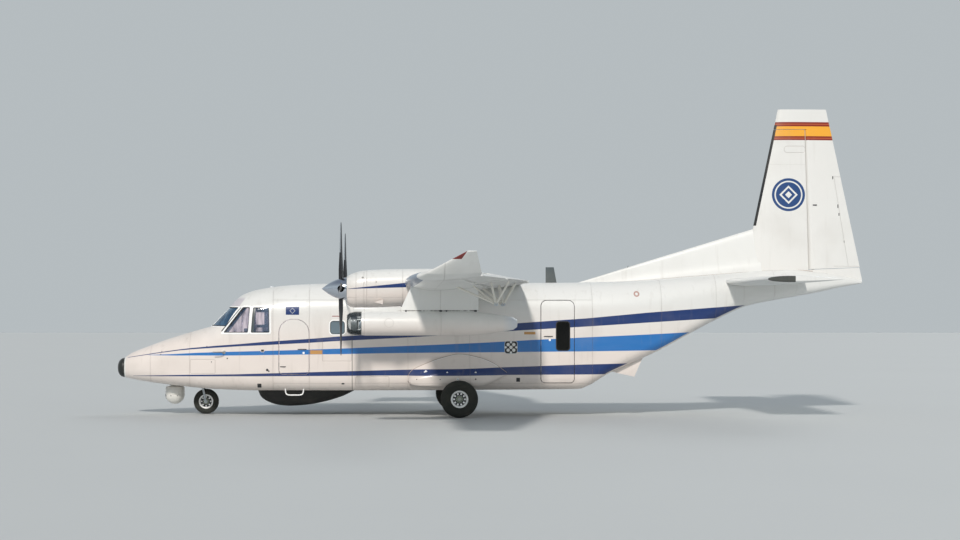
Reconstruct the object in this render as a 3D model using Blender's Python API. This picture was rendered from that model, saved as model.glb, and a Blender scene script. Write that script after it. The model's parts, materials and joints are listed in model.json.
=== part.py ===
"""Twin-turboprop utility airliner with patrol equipment, parked on its landing gear.

Metres, +Z up, nose toward -X, port side toward -Y. The ground is Z = 0, and the origin is
the centre of the aircraft's box on the ground.
"""
import math

import bmesh
import bpy
from mathutils import Matrix, Vector

for old_object in list(bpy.data.objects):
    bpy.data.objects.remove(old_object, do_unlink=True)

PARTS = bpy.data.collections.new("turboprop_airliner")
CUTTERS = bpy.data.collections.new("cutters")
for group in (PARTS, CUTTERS):
    bpy.context.scene.collection.children.link(group)

SIDES = (("port", -1.0), ("starboard", 1.0))
X_AXIS = Vector((1.0, 0.0, 0.0))
Y_AXIS = Vector((0.0, 1.0, 0.0))
Z_AXIS = Vector((0.0, 0.0, 1.0))

# Clearances
GAP = 0.0003
SEAT_GAP = 0.0007
HINGE_CLEAR = 0.012
DOOR_CLEAR = 0.012

# Colours
WHITE = (0.82, 0.80, 0.77)
GREY = (0.30, 0.31, 0.32)
DARK = (0.02, 0.02, 0.02)
METAL = (0.65, 0.65, 0.66)
TYRE = (0.012, 0.012, 0.011)
CABIN_GREY = (0.42, 0.43, 0.42)


# Shapes

def link(obj, collection=CUTTERS):
    collection.objects.link(obj)
    if collection is CUTTERS:
        obj.hide_render = True
        obj.display_type = "WIRE"
    return obj


def from_bmesh(name, bm):
    bmesh.ops.recalc_face_normals(bm, faces=bm.faces)
    mesh = bpy.data.meshes.new(name)
    bm.to_mesh(mesh)
    bm.free()
    return link(bpy.data.objects.new(name, mesh))


def loft(name, rings):
    """A closed solid through rings of equal point counts, with a flat cap at each end."""
    bm = bmesh.new()
    loops = [[bm.verts.new(point) for point in ring] for ring in rings]
    count = len(rings[0])
    for first, second in zip(loops, loops[1:]):
        for i in range(count):
            j = (i + 1) % count
            bm.faces.new((first[i], first[j], second[j], second[i]))
    bm.faces.new(loops[0])
    bm.faces.new(loops[-1])
    return from_bmesh(name, bm)


def box(name, low, high):
    bm = bmesh.new()
    bmesh.ops.create_cube(bm, size=1.0)
    size = Vector(high) - Vector(low)
    middle = (Vector(high) + Vector(low)) / 2
    bmesh.ops.scale(bm, vec=size, verts=bm.verts)
    bmesh.ops.translate(bm, vec=middle, verts=bm.verts)
    return from_bmesh(name, bm)


def rod(name, start, end, radius, end_radius=None, sides=12):
    start, end = Vector(start), Vector(end)
    along = end - start
    bm = bmesh.new()
    turn = Z_AXIS.rotation_difference(along).to_matrix().to_4x4()
    bmesh.ops.create_cone(
        bm, cap_ends=True, segments=sides, radius1=radius,
        radius2=radius if end_radius is None else end_radius, depth=along.length,
        matrix=Matrix.Translation((start + end) / 2) @ turn)
    return from_bmesh(name, bm)


def ball(name, centre, radius, rows=10):
    bm = bmesh.new()
    bmesh.ops.create_uvsphere(bm, u_segments=2 * rows, v_segments=rows, radius=radius,
                              matrix=Matrix.Translation(centre))
    return from_bmesh(name, bm)


def as_mesh(name, curve_object, weld=1e-5):
    """The curve object's shape as a welded mesh object; the curve is removed."""
    bpy.context.scene.collection.objects.link(curve_object)
    bpy.context.view_layer.update()
    graph = bpy.context.evaluated_depsgraph_get()
    mesh = bpy.data.meshes.new_from_object(curve_object.evaluated_get(graph))
    mesh.transform(curve_object.matrix_world)
    bpy.data.objects.remove(curve_object, do_unlink=True)
    bm = bmesh.new()
    bm.from_mesh(mesh)
    bmesh.ops.remove_doubles(bm, verts=bm.verts, dist=weld)
    return from_bmesh(name, bm)


def plate(name, outline, low, high, frame=None):
    """A flat outline in a frame's XY plane, thick from low to high along its Z."""
    curve = bpy.data.curves.new(name, "CURVE")
    curve.dimensions = "2D"
    curve.fill_mode = "BOTH"
    curve.extrude = (high - low) / 2
    spline = curve.splines.new("POLY")
    spline.points.add(len(outline) - 1)
    for point, (u, v) in zip(spline.points, outline):
        point.co = (u, v, 0.0, 1.0)
    spline.use_cyclic_u = True
    obj = bpy.data.objects.new(name, curve)
    obj.matrix_world = (frame or Matrix.Identity(4)) @ Matrix.Translation((0, 0, (low + high) / 2))
    return as_mesh(name, obj)


def tube(name, route, radius, sides=1):
    curve = bpy.data.curves.new(name, "CURVE")
    curve.dimensions = "3D"
    curve.bevel_depth = radius
    curve.bevel_resolution = sides
    curve.use_fill_caps = True
    spline = curve.splines.new("POLY")
    spline.points.add(len(route) - 1)
    for point, place in zip(spline.points, route):
        point.co = (*place, 1.0)
    return as_mesh(name, bpy.data.objects.new(name, curve))


def turned(name, profile, centre, axis=X_AXIS, steps=24):
    """A profile of (along, radius) points turned about an axis through the centre."""
    bm = bmesh.new()
    verts = [bm.verts.new((radius, 0.0, along)) for along, radius in profile]
    for first, second in zip(verts, verts[1:]):
        bm.edges.new((first, second))
    turn = Matrix.Translation(centre) @ Z_AXIS.rotation_difference(axis).to_matrix().to_4x4()
    bmesh.ops.spin(bm, geom=bm.verts[:] + bm.edges[:], cent=(0, 0, 0), axis=(0, 0, 1),
                   angle=math.tau, steps=steps, use_merge=False)
    bmesh.ops.remove_doubles(bm, verts=bm.verts, dist=1e-5)
    bmesh.ops.transform(bm, matrix=turn, verts=bm.verts)
    return from_bmesh(name, bm)


def combine(target, tool, operation="DIFFERENCE"):
    modifier = target.modifiers.new(operation.lower(), "BOOLEAN")
    modifier.operation = operation
    modifier.object = tool
    return target


def settle(obj):
    """Apply the modifiers, so that a cutter can be used by many pieces."""
    bpy.context.view_layer.update()
    graph = bpy.context.evaluated_depsgraph_get()
    mesh = bpy.data.meshes.new_from_object(obj.evaluated_get(graph))
    obj.modifiers.clear()
    obj.data = mesh
    return obj


def piece(obj, name, colour, roughness=0.4, metallic=0.0, origin=None):
    """Make a shape into a named piece with its material and, if it moves, its origin."""
    obj.name = name
    CUTTERS.objects.unlink(obj)
    PARTS.objects.link(obj)
    obj.hide_render = False
    obj.display_type = "TEXTURED"
    material = bpy.data.materials.new(name)
    material.use_nodes = True
    shader = material.node_tree.nodes["Principled BSDF"]
    shader.inputs["Base Color"].default_value = (*colour, 1.0)
    shader.inputs["Roughness"].default_value = roughness
    shader.inputs["Metallic"].default_value = metallic
    if obj.modifiers:
        settle(obj)
    obj.data.materials.clear()
    obj.data.materials.append(material)
    if origin is not None:
        obj.data.transform(Matrix.Translation(-Vector(origin)))
        obj.location = origin
    return obj


def between(rows, x):
    """A table's row at x, by straight lines between its rows; the first column is x."""
    for first, second in zip(rows, rows[1:]):
        if first[0] <= x <= second[0]:
            share = (x - first[0]) / (second[0] - first[0])
            return tuple(a + share * (b - a) for a, b in zip(first, second))
    return rows[0] if x < rows[0][0] else rows[-1]


# Fuselage

FUSELAGE = (
    # x, bottom, top, half_width, upper_radius, lower_radius
    (-7.930, 0.800, 1.170, 0.200, 0.180, 0.170),
    (-7.770, 0.765, 1.320, 0.330, 0.270, 0.220),
    (-7.420, 0.710, 1.460, 0.510, 0.380, 0.270),
    (-6.900, 0.650, 1.645, 0.700, 0.460, 0.290),
    (-6.380, 0.600, 1.800, 0.860, 0.520, 0.290),
    (-6.020, 0.575, 1.900, 0.950, 0.560, 0.280),
    (-5.690, 0.560, 2.285, 1.010, 0.560, 0.280),
    (-5.340, 0.550, 2.570, 1.070, 0.580, 0.280),
    (-4.990, 0.545, 2.690, 1.110, 0.600, 0.280),
    (-4.300, 0.545, 2.785, 1.130, 0.620, 0.280),
    (-3.600, 0.545, 2.815, 1.140, 0.620, 0.280),
    (1.800, 0.575, 2.840, 1.140, 0.620, 0.260),
    (2.500, 0.925, 2.855, 1.130, 0.600, 0.250),
    (3.520, 1.385, 2.910, 1.060, 0.560, 0.250),
    (4.200, 1.745, 2.965, 0.970, 0.500, 0.250),
    (4.880, 2.090, 3.020, 0.850, 0.430, 0.250),
    (5.460, 2.335, 3.065, 0.730, 0.340, 0.230),
    (5.950, 2.440, 3.100, 0.620, 0.310, 0.220),
    (6.500, 2.535, 3.120, 0.490, 0.280, 0.190),
    (7.070, 2.635, 3.070, 0.340, 0.200, 0.150),
    (7.570, 2.742, 3.000, 0.200, 0.120, 0.100),
    (8.060, 2.830, 2.895, 0.060, 0.030, 0.025),
)
NOSE_TIP = -8.075
NOSE_CAP_END = FUSELAGE[0][0]
NOSE_END = -6.490
COCKPIT_END = -4.670
CABIN_END = 2.100
TAIL_END = FUSELAGE[-1][0]
WALL = 0.080
CAVITY_FRONT = -6.300
CAVITY_REAR = 7.250
ROOF_HALF_WIDTH = 0.550
WAIST = 1.700
STATIONS = sorted((*(row[0] for row in FUSELAGE), NOSE_END, CAVITY_FRONT, COCKPIT_END, CABIN_END, CAVITY_REAR))
UPPER_STEPS = 6
LOWER_STEPS = 3


def fuselage_ring(x, grow=0.0):
    _, bottom, top, half_width, upper, lower = between(FUSELAGE, x)
    bottom, top, half_width = bottom - grow, top + grow, half_width + grow
    upper, lower = max(upper + grow, 0.02), max(lower + grow, 0.02)
    corners = (
        # centre_y, centre_z, radius, first_angle, steps
        (half_width - upper, top - upper, upper, 0, UPPER_STEPS),
        (-half_width + upper, top - upper, upper, 90, UPPER_STEPS),
        (-half_width + lower, bottom + lower, lower, 180, LOWER_STEPS),
        (half_width - lower, bottom + lower, lower, 270, LOWER_STEPS),
    )
    ring = []
    for centre_y, centre_z, radius, first, steps in corners:
        for step in range(steps + 1):
            angle = math.radians(first + 90 * step / steps)
            ring.append((x, centre_y + radius * math.cos(angle), centre_z + radius * math.sin(angle)))
    return ring


def fuselage_solid(name, x_from, x_to, grow=0.0):
    inner = [x for x in STATIONS if x_from + 0.01 < x < x_to - 0.01]
    return loft(name, [fuselage_ring(x, grow) for x in (x_from, *inner, x_to)])


# Wing, tailplane and fin

WING = (
    # y, leading_edge, chord, thickness
    (0.0, -1.895, 2.490, 0.180),
    (3.1, -1.895, 2.490, 0.180),
    (9.5, -1.805, 1.055, 0.160),
)
WING_Z = 2.800
WING_CAMBER = 0.015
WING_KINK = WING[1][0]
WING_TIP = WING[2][0]
TAILPLANE = (
    # y, leading_edge, chord, thickness
    (0.0, 4.940, 1.800, 0.120),
    (4.2, 5.145, 1.515, 0.110),
)
TAILPLANE_Z = 2.850
TAILPLANE_TIP = TAILPLANE[-1][0]
FIN = (
    # z, leading_edge, chord, thickness
    (2.90, 5.480, 2.595, 0.100),
    (4.09, 5.717, 2.107, 0.110),
    (6.60, 6.244, 1.046, 0.110),
)
TRAILING_EDGE = 0.006
CHORD_STEPS = 9


def half_thickness(share, ratio):
    """The four-digit section's half thickness at a share of the chord."""
    terms = ((0.5, 0.2969), (1, -0.1260), (2, -0.3516), (3, 0.2843), (4, -0.1015))
    return 5 * ratio * sum(factor * share ** power for power, factor in terms)


def camber_line(share, camber):
    return 4 * camber * share * (1 - share)


def section(row, camber=0.0, grow=0.0):
    """A wing section's (chordwise, thickness) points, round the nose from edge to edge."""
    _, leading_edge, chord, ratio = row
    points = []
    for side, order in ((1, range(CHORD_STEPS, 0, -1)), (-1, range(0, CHORD_STEPS + 1))):
        for step in order:
            share = (1 - math.cos(math.pi * step / CHORD_STEPS)) / 2
            half = half_thickness(share, ratio) * chord + TRAILING_EDGE / 2 + grow
            stretch = grow * (2 * share - 1)
            points.append((leading_edge + share * chord + stretch,
                           camber_line(share, camber) * chord + side * half))
    return points


def wing_ring(y, side=1.0, grow=0.0):
    row = between(WING, y)
    return [(x, side * y, WING_Z + z) for x, z in section(row, WING_CAMBER, grow)]


def tailplane_ring(y, grow=0.0):
    row = between(TAILPLANE, abs(y))
    return [(x, y, TAILPLANE_Z + z) for x, z in section(row, 0.0, grow)]


def fin_ring(z, grow=0.0):
    return [(x, y, z) for x, y in section(between(FIN, z), 0.0, grow)]


def on_chord(table, place, share, camber=0.0):
    """A chord point's (x, offset, half thickness) at a place along the span."""
    _, leading_edge, chord, ratio = between(table, place)
    return (leading_edge + share * chord, camber_line(share, camber) * chord,
            half_thickness(share, ratio) * chord)


CAVITY_SHARES = (0.07, 0.14, 0.25, 0.38, 0.52)
SKIN = 0.022


def cavity_points(row):
    """The outline of the space inside a section's skin, ahead of its rear spar."""
    _, leading_edge, chord, ratio = row
    upper = [(leading_edge + share * chord, half_thickness(share, ratio) * chord - SKIN)
             for share in CAVITY_SHARES]
    return upper + [(x, -half) for x, half in reversed(upper)]


def surface_frame(start, end, normal):
    """Origin at start, X along the hinge line, Y aft, Z out of the surface."""
    along = (end - start).normalized()
    aft = normal.cross(along).normalized()
    if aft.x < 0:
        aft = -aft
    out = along.cross(aft)
    matrix = Matrix((along, aft, out)).transposed().to_4x4()
    matrix.translation = start
    return matrix


def control_surface(name, start, end, radii, chords, normal, pins=True):
    """A surface with a round nose on its hinge line, and the cutter that clears it.

    start and end are on the hinge line, radii are the nose's at each, and chords are
    the lengths from the hinge line to the trailing edge. Its end pins meet the faces
    of the cut-out.
    """
    frame = surface_frame(start, end, normal)
    span = (end - start).length
    rings = []
    for along, radius, chord in zip((0.0, span), radii, chords):
        ring = [(along, chord, TRAILING_EDGE / 2), (along, chord, -TRAILING_EDGE / 2)]
        for step in range(7):
            angle = math.radians(-90 - 30 * step)
            ring.append((along, radius * math.cos(angle), radius * math.sin(angle)))
        rings.append([frame @ Vector(point) for point in ring])
    body = loft(name, rings)
    clear = HINGE_CLEAR
    outline = (
        (-clear, -radii[0] - clear), (span + clear, -radii[1] - clear),
        (span + clear, chords[1] + 0.3), (-clear, chords[0] + 0.3),
    )
    cutter = plate(name + "_cutter", outline, -0.4, 0.4, frame)
    if pins:
        reach = clear - GAP
        combine(body, rod(name + "_pin", frame @ Vector((-reach, 0, 0)), frame @ Vector((span + reach, 0, 0)),
                          0.5 * min(radii), sides=10), "UNION")
    return body, cutter


# Cutters that many pieces share

fuselage_outer = fuselage_solid("fuselage_outer", NOSE_CAP_END, TAIL_END, SEAT_GAP)
fuselage_cavity = fuselage_solid("fuselage_cavity", CAVITY_FRONT, CAVITY_REAR, -WALL)
wing_cutter = loft("wing_cutter", [wing_ring(y, s, SEAT_GAP) for y, s in ((WING_KINK, -1), (0, 1), (WING_KINK, 1))])
tailplane_cutter = loft("tailplane_cutter", [tailplane_ring(y, SEAT_GAP) for y in (-TAILPLANE_TIP, 0.0, TAILPLANE_TIP)])

# Doors, ramp and windows

DOORS = {
    # name: (x_front, x_rear, z_low, z_high, arch)
    "crew_door": (-4.515, -3.891, 0.900, 2.050, 0.280),
    "aft_door": (1.011, 1.703, 0.720, 2.450, 0.120),
}
KNUCKLE_RADIUS = 0.0072
KNUCKLE_OUT = DOOR_CLEAR - GAP - KNUCKLE_RADIUS
KNUCKLE_IN = 0.005
KNUCKLE_HEIGHTS = {"crew_door": (1.10, 1.62), "aft_door": (1.00, 1.55, 2.05)}
RAMP_FRONT = 2.250
RAMP_REAR = 4.300
RAMP_HALF_WIDTH = 0.700
STRAKE = ((2.60, 1.02), (3.02, 0.83), (3.20, 1.27), (3.00, 1.20))
SIDE_FRAME = Matrix(((1, 0, 0, 0), (0, 0, -1, 0), (0, 1, 0, 0), (0, 0, 0, 1)))
WINDOW_DEPTH = 0.020
GLASS = 0.012


def rounded(x_low, x_high, z_low, z_high, radius, grow=0.0, low_radius=None, steps=4):
    """A rectangle's outline with round corners, grown all round."""
    lower = radius if low_radius is None else low_radius
    corners = (
        (x_high, z_high, -1, -1, radius, 0), (x_low, z_high, 1, -1, radius, 90),
        (x_low, z_low, 1, 1, lower, 180), (x_high, z_low, -1, 1, lower, 270),
    )
    points = []
    for x, z, to_x, to_z, size, first in corners:
        for step in range(steps + 1):
            angle = math.radians(first + 90 * step / steps)
            points.append((x + to_x * size + (size + grow) * math.cos(angle),
                           z + to_z * size + (size + grow) * math.sin(angle)))
    return points


def side_plate(name, outline, y_low, y_high):
    """An outline of (x, z) points made solid from y_low to y_high."""
    return plate(name, outline, -y_high, -y_low, SIDE_FRAME)


def shrunk(outline, amount):
    """A convex outline with each edge moved in by an amount."""
    count = len(outline)
    area = sum(outline[i][0] * outline[(i + 1) % count][1] - outline[(i + 1) % count][0] * outline[i][1]
               for i in range(count))
    turn = 1 if area > 0 else -1
    lines = []
    for i in range(count):
        start, end = Vector(outline[i]), Vector(outline[(i + 1) % count])
        along = (end - start).normalized()
        inward = Vector((-along.y, along.x)) * turn
        lines.append((start + inward * amount, along))
    points = []
    for i in range(count):
        (first, a), (second, b) = lines[i - 1], lines[i]
        across = a.x * b.y - a.y * b.x
        step = ((second - first).x * b.y - (second - first).y * b.x) / across
        points.append(tuple(first + a * step))
    return points


WINDSHIELD = ((0.045, 1.990), (0.840, 1.930), (0.740, 2.330), (0.045, 2.420))
WINDSHIELD_COVER = ((-0.860, 1.915), (0.860, 1.915), (0.750, 2.350), (0.045, 2.440), (-0.045, 2.440), (-0.750, 2.350))
SIDE_WINDOWS = {
    # name: outline of (x, z)
    "front_side_window": ((-5.707, 1.772), (-5.179, 1.772), (-5.135, 2.312), (-5.294, 2.312)),
    "rear_side_window": ((-5.116, 1.772), (-4.722, 1.772), (-4.730, 2.306), (-5.071, 2.306)),
}
SIDE_COVER = ((-5.727, 1.752), (-4.702, 1.752), (-4.710, 2.328), (-5.300, 2.332))
FRONT_FRAME = Matrix(((0, 0, 1, 0), (1, 0, 0, 0), (0, 1, 0, 0), (0, 0, 0, 1)))
pocket_depth = fuselage_solid("pocket_depth", -6.30, CABIN_END, -WINDOW_DEPTH)
pane_outer = fuselage_solid("pane_outer", -6.30, CABIN_END, -WINDOW_DEPTH - GAP)
pane_inner = fuselage_solid("pane_inner", -6.35, CABIN_END + 0.05, -WINDOW_DEPTH - GLASS)


def side_range(side, low=0.75, high=1.4):
    return (low, high) if side > 0 else (-high, -low)


def glazing(shell, name, holes, pocket, glass):
    """Cut the window holes, and the pocket behind them that one glass sheet fills."""
    for hole in holes:
        combine(shell, hole)
    combine(shell, settle(combine(pocket, pocket_depth, "INTERSECT")))
    combine(combine(glass, pane_outer, "INTERSECT"), pane_inner)
    piece(glass, name, (0.35, 0.40, 0.42), 0.05)


# Cockpit

cockpit = fuselage_solid("cockpit", NOSE_END + GAP, COCKPIT_END)
combine(cockpit, fuselage_cavity)
front_holes = []
for tag, side in SIDES:
    outline = [(side * y, z) for y, z in WINDSHIELD]
    front_holes.append(plate("windshield_hole_" + tag, outline, -6.30, -5.10, FRONT_FRAME))
glazing(cockpit, "windshield", front_holes,
        plate("windshield_pocket", WINDSHIELD_COVER, -6.30, -5.10, FRONT_FRAME),
        plate("windshield_glass", shrunk(WINDSHIELD_COVER, GAP), -6.29, -5.11, FRONT_FRAME))
for tag, side in SIDES:
    side_holes = [side_plate(window + "_" + tag, corners, *side_range(side))
                  for window, corners in SIDE_WINDOWS.items()]
    glazing(cockpit, "side_window_" + tag, side_holes,
            side_plate("side_pocket_" + tag, SIDE_COVER, *side_range(side)),
            side_plate("side_glass_" + tag, shrunk(SIDE_COVER, GAP), *side_range(side)))

COCKPIT_FLOOR = 0.850
PROBE_X = -5.700
PROBE_Z = 1.360
NOSE_WELL = (-6.235, 0.0)
NOSE_WELL_RADIUS = 0.185
PANEL_X = -5.960
SEAT = {"x": -5.250, "y": 0.480, "width": 0.460, "depth": 0.480, "height": 0.360, "back": 0.620}
floor_space = fuselage_solid("floor_space", CAVITY_FRONT + GAP, COCKPIT_END, -WALL - GAP)
cockpit_floor = box("cockpit_floor", (CAVITY_FRONT - 0.1, -1.2, 0.5), (COCKPIT_END, 1.2, COCKPIT_FLOOR))
combine(cockpit_floor, floor_space, "INTERSECT")

panel_space = fuselage_solid("panel_space", -6.2, -5.7, -WALL - 0.002)
instrument_panel = box("instrument_panel", (PANEL_X - 0.12, -0.80, 1.30), (PANEL_X, 0.80, 1.95))
pedestal = box("pedestal", (PANEL_X - 0.05, -0.14, COCKPIT_FLOOR + GAP), (PANEL_X + 0.35, 0.14, 1.40))
combine(instrument_panel, pedestal, "UNION")
combine(instrument_panel, panel_space, "INTERSECT")

for tag, side in SIDES:
    root = Vector((PROBE_X, side * 0.90, PROBE_Z))
    bend = Vector((PROBE_X - 0.02, side * 1.15, PROBE_Z))
    probe = rod("probe_foot", root, bend, 0.012, sides=8)
    combine(probe, rod("probe", bend + X_AXIS * 0.01, bend - X_AXIS * 0.20, 0.011, sides=8), "UNION")
    combine(probe, fuselage_cavity)
    combine(cockpit, settle(probe), "UNION")
combine(cockpit, rod("nose_wheel_well", (*NOSE_WELL, 0.45), (*NOSE_WELL, 0.700), NOSE_WELL_RADIUS, sides=24))
piece(cockpit, "cockpit_shell", WHITE)
piece(instrument_panel, "instrument_panel", DARK, 0.6)

for tag, side in SIDES:
    x, y = SEAT["x"], side * SEAT["y"]
    half = SEAT["width"] / 2
    top = COCKPIT_FLOOR + SEAT["height"]
    seat = box("seat", (x - SEAT["depth"] / 2, y - half, top - 0.10), (x + SEAT["depth"] / 2, y + half, top))
    back = box("back", (x + SEAT["depth"] / 2 - 0.10, y - half, top - 0.10),
               (x + SEAT["depth"] / 2, y + half, top + SEAT["back"]))
    base = box("base", (x - 0.16, y - 0.16, COCKPIT_FLOOR + GAP), (x + 0.16, y + 0.16, top - 0.05))
    combine(combine(seat, back, "UNION"), base, "UNION")
    piece(seat, "pilot_seat_" + tag, (0.10, 0.12, 0.16), 0.8)
    column = tube("column", [(x - 0.52, y, COCKPIT_FLOOR - 0.02), (x - 0.50, y, 1.42), (x - 0.44, y, 1.50)], 0.022)
    grip = tube("grip", [(x - 0.44, y - 0.16, 1.60), (x - 0.44, y - 0.13, 1.50),
                         (x - 0.44, y + 0.13, 1.50), (x - 0.44, y + 0.16, 1.60)], 0.018)
    combine(cockpit_floor, settle(combine(column, grip, "UNION")), "UNION")
piece(cockpit_floor, "cockpit_floor", CABIN_GREY)

# Nose

nose = fuselage_solid("nose", NOSE_CAP_END, NOSE_END)
cap_rings = []
for share in (0.0, 0.12, 0.30, 0.55, 0.80, 1.0):
    x = NOSE_TIP + share * (NOSE_CAP_END - GAP - NOSE_TIP)
    size = math.sqrt(max(1 - (1 - share) ** 2, 0.0)) * 0.96 + 0.04
    middle = (FUSELAGE[0][1] + FUSELAGE[0][2]) / 2
    cap_rings.append([(x, size * y, middle + size * (z - middle)) for _, y, z in fuselage_ring(NOSE_CAP_END)])
piece(loft("cap", cap_rings), "nose_cap", DARK, 0.35)

# Sensor turret

TURRET = Vector((-6.833, 0.0, 0.422))
TURRET_RADIUS = 0.207
TURRET_NECK = 0.6305
mount = rod("turret_mount", (TURRET.x, 0, TURRET_NECK + GAP), (TURRET.x, 0, 0.75), 0.13, sides=24)
combine(nose, mount, "UNION")
turret = ball("turret_ball", TURRET, TURRET_RADIUS, 12)
combine(turret, rod("turret_neck", (TURRET.x, 0, TURRET.z + 0.12), (TURRET.x, 0, TURRET_NECK), 0.10, sides=24), "UNION")
piece(turret, "sensor_turret", WHITE, 0.35, 0.0, TURRET)

# Nose landing gear

NOSE_WHEEL = Vector((-6.155, 0.0, 0.272))
NOSE_LEG_TOP = Vector((-6.245, 0.0, 0.700))
NOSE_SLANT = (NOSE_LEG_TOP - NOSE_WHEEL).normalized()
STEER_JOINT = NOSE_WHEEL + NOSE_SLANT * 0.345


def along_leg(distance):
    return NOSE_WHEEL + NOSE_SLANT * distance


upper_leg = rod("upper_leg", STEER_JOINT + NOSE_SLANT * GAP, NOSE_LEG_TOP, 0.055, sides=16)
combine(upper_leg, fuselage_cavity)
piece(nose, "nose_section", WHITE)
piece(upper_leg, "nose_gear_leg", METAL, 0.35, 0.6)

FORK_HALF = 0.135
fork = rod("fork_stem", STEER_JOINT, along_leg(0.290), 0.050, sides=16)
combine(fork, rod("fork_crown", along_leg(0.307) - Y_AXIS * 0.14, along_leg(0.307) + Y_AXIS * 0.14, 0.022), "UNION")
for side in (-1, 1):
    arm = rod("fork_arm", along_leg(0.307) + Y_AXIS * side * FORK_HALF, NOSE_WHEEL + Y_AXIS * side * FORK_HALF, 0.020)
    combine(fork, arm, "UNION")
combine(fork, rod("nose_axle", NOSE_WHEEL - Y_AXIS * 0.150, NOSE_WHEEL + Y_AXIS * 0.150, 0.018), "UNION")
piece(fork, "nose_fork", METAL, 0.35, 0.6, STEER_JOINT)


def wheel_profile(radius, half_width, rim_radius):
    shoulder = 0.55 * half_width
    return (
        (-half_width, rim_radius), (-half_width, radius - 0.30 * (radius - rim_radius)),
        (-shoulder - 0.2 * half_width, radius - 0.07 * (radius - rim_radius)), (-shoulder * 0.5, radius),
        (shoulder * 0.5, radius), (shoulder + 0.2 * half_width, radius - 0.07 * (radius - rim_radius)),
        (half_width, radius - 0.30 * (radius - rim_radius)), (half_width, rim_radius), (-half_width, rim_radius),
    )


def wheel(name, centre, radius, half_width, rim_radius, bore):
    tyre = turned("tyre", wheel_profile(radius, half_width, rim_radius), centre, Y_AXIS, 32)
    piece(tyre, name + "_tyre", TYRE, 0.85, 0.0, centre)
    rim = rim_radius - GAP
    dish = 0.6 * half_width
    profile = (
        (-half_width * 0.9, rim * 0.86), (-half_width * 0.9, rim), (half_width * 0.9, rim),
        (half_width * 0.9, rim * 0.86), (dish, rim * 0.80), (dish, bore), (-dish, bore),
        (-dish, rim * 0.80), (-half_width * 0.9, rim * 0.86),
    )
    piece(turned("rim", profile, centre, Y_AXIS, 32), name + "_rim", WHITE, 0.35, 0.2, centre)


wheel("nose_wheel", NOSE_WHEEL, 0.272, 0.095, 0.160, 0.0185)

# Cabin

CABIN_FLOOR = 0.750
STEP_LOOP = ((-4.39, -0.98, 0.62), (-4.39, -0.98, 0.45), (-4.01, -0.98, 0.45), (-4.01, -0.98, 0.62))
AERIAL = ((1.20, 2.80), (1.42, 2.80), (1.44, 3.18), (1.33, 3.18))


def cabin_panel(name, x_from, x_to, low, high):
    """The part of the cabin's wall that lies in a box of (y, z) corners."""
    shell = fuselage_solid(name, x_from, x_to)
    combine(shell, fuselage_cavity)
    keep = box(name + "_keep", (x_from - 0.1, *low), (x_to + 0.1, *high))
    combine(shell, keep, "INTERSECT")
    combine(shell, wing_cutter)
    return shell


def door_outline(door, grow=0.0):
    x_front, x_rear, z_low, z_high, arch = DOORS[door]
    return rounded(x_front, x_rear, z_low, z_high, arch, grow, 0.08)


inner_edge = ROOF_HALF_WIDTH - GAP
roof_front = cabin_panel("roof_front", COCKPIT_END + GAP, -1.80, (-inner_edge, WAIST), (inner_edge, 3.2))
roof_rear = cabin_panel("roof_rear", 0.30, CABIN_END - GAP, (-inner_edge, WAIST), (inner_edge, 3.2))
belly = cabin_panel("belly", COCKPIT_END + GAP, CABIN_END - GAP, (-inner_edge, 0.2), (inner_edge, WAIST))
floor_space = fuselage_solid("cabin_floor_space", COCKPIT_END, CABIN_END, -WALL - GAP)
floor = box("floor", (COCKPIT_END + GAP, -1.2, 0.5), (CABIN_END - GAP, 1.2, CABIN_FLOOR))
keel = box("keel", (COCKPIT_END + GAP, -0.5, 0.60), (1.75, 0.5, 0.70))
combine(floor, floor_space, "INTERSECT")
combine(floor, side_plate("aft_door_sill", door_outline("aft_door", DOOR_CLEAR), -1.5, -1.04))
combine(combine(belly, settle(floor), "UNION"), keel, "UNION")
combine(belly, box("floor_level", (1.70, -0.60, CABIN_FLOOR), (2.20, 0.60, 0.90)))
for tag, side in SIDES:
    low, high = sorted((side * ROOF_HALF_WIDTH, side * 1.5))
    wall = cabin_panel("wall_" + tag, COCKPIT_END + GAP, CABIN_END - GAP, (low, 0.2), (high, 3.2))
    if side < 0:
        for door in DOORS:
            combine(wall, side_plate(door + "_hole", door_outline(door, DOOR_CLEAR), -1.5, -0.6))
        combine(wall, tube("step", STEP_LOOP, 0.012), "UNION")
    piece(wall, "cabin_wall_" + tag, WHITE)
combine(roof_rear, side_plate("aerial", AERIAL, -0.010, 0.010), "UNION")
piece(roof_front, "cabin_roof_front", WHITE)
piece(roof_rear, "cabin_roof_rear", WHITE)
piece(belly, "cabin_belly", WHITE)

for door, (x_front, *_rest) in DOORS.items():
    leaf = fuselage_solid(door, COCKPIT_END + GAP, CABIN_END - GAP)
    combine(leaf, fuselage_cavity)
    combine(leaf, side_plate(door + "_keep", door_outline(door), -1.5, -0.6), "INTERSECT")
    hinge = Vector((x_front - KNUCKLE_OUT, -between(FUSELAGE, x_front)[3] + KNUCKLE_IN, 1.5))
    for z in KNUCKLE_HEIGHTS[door]:
        place = Vector((hinge.x, hinge.y, z))
        combine(leaf, rod("knuckle", place - Z_AXIS * 0.045, place + Z_AXIS * 0.045, KNUCKLE_RADIUS), "UNION")
    piece(leaf, door, WHITE, 0.4, 0.0, hinge)

# Aft fuselage, ramp, dorsal fin, fin and tailplane

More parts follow.
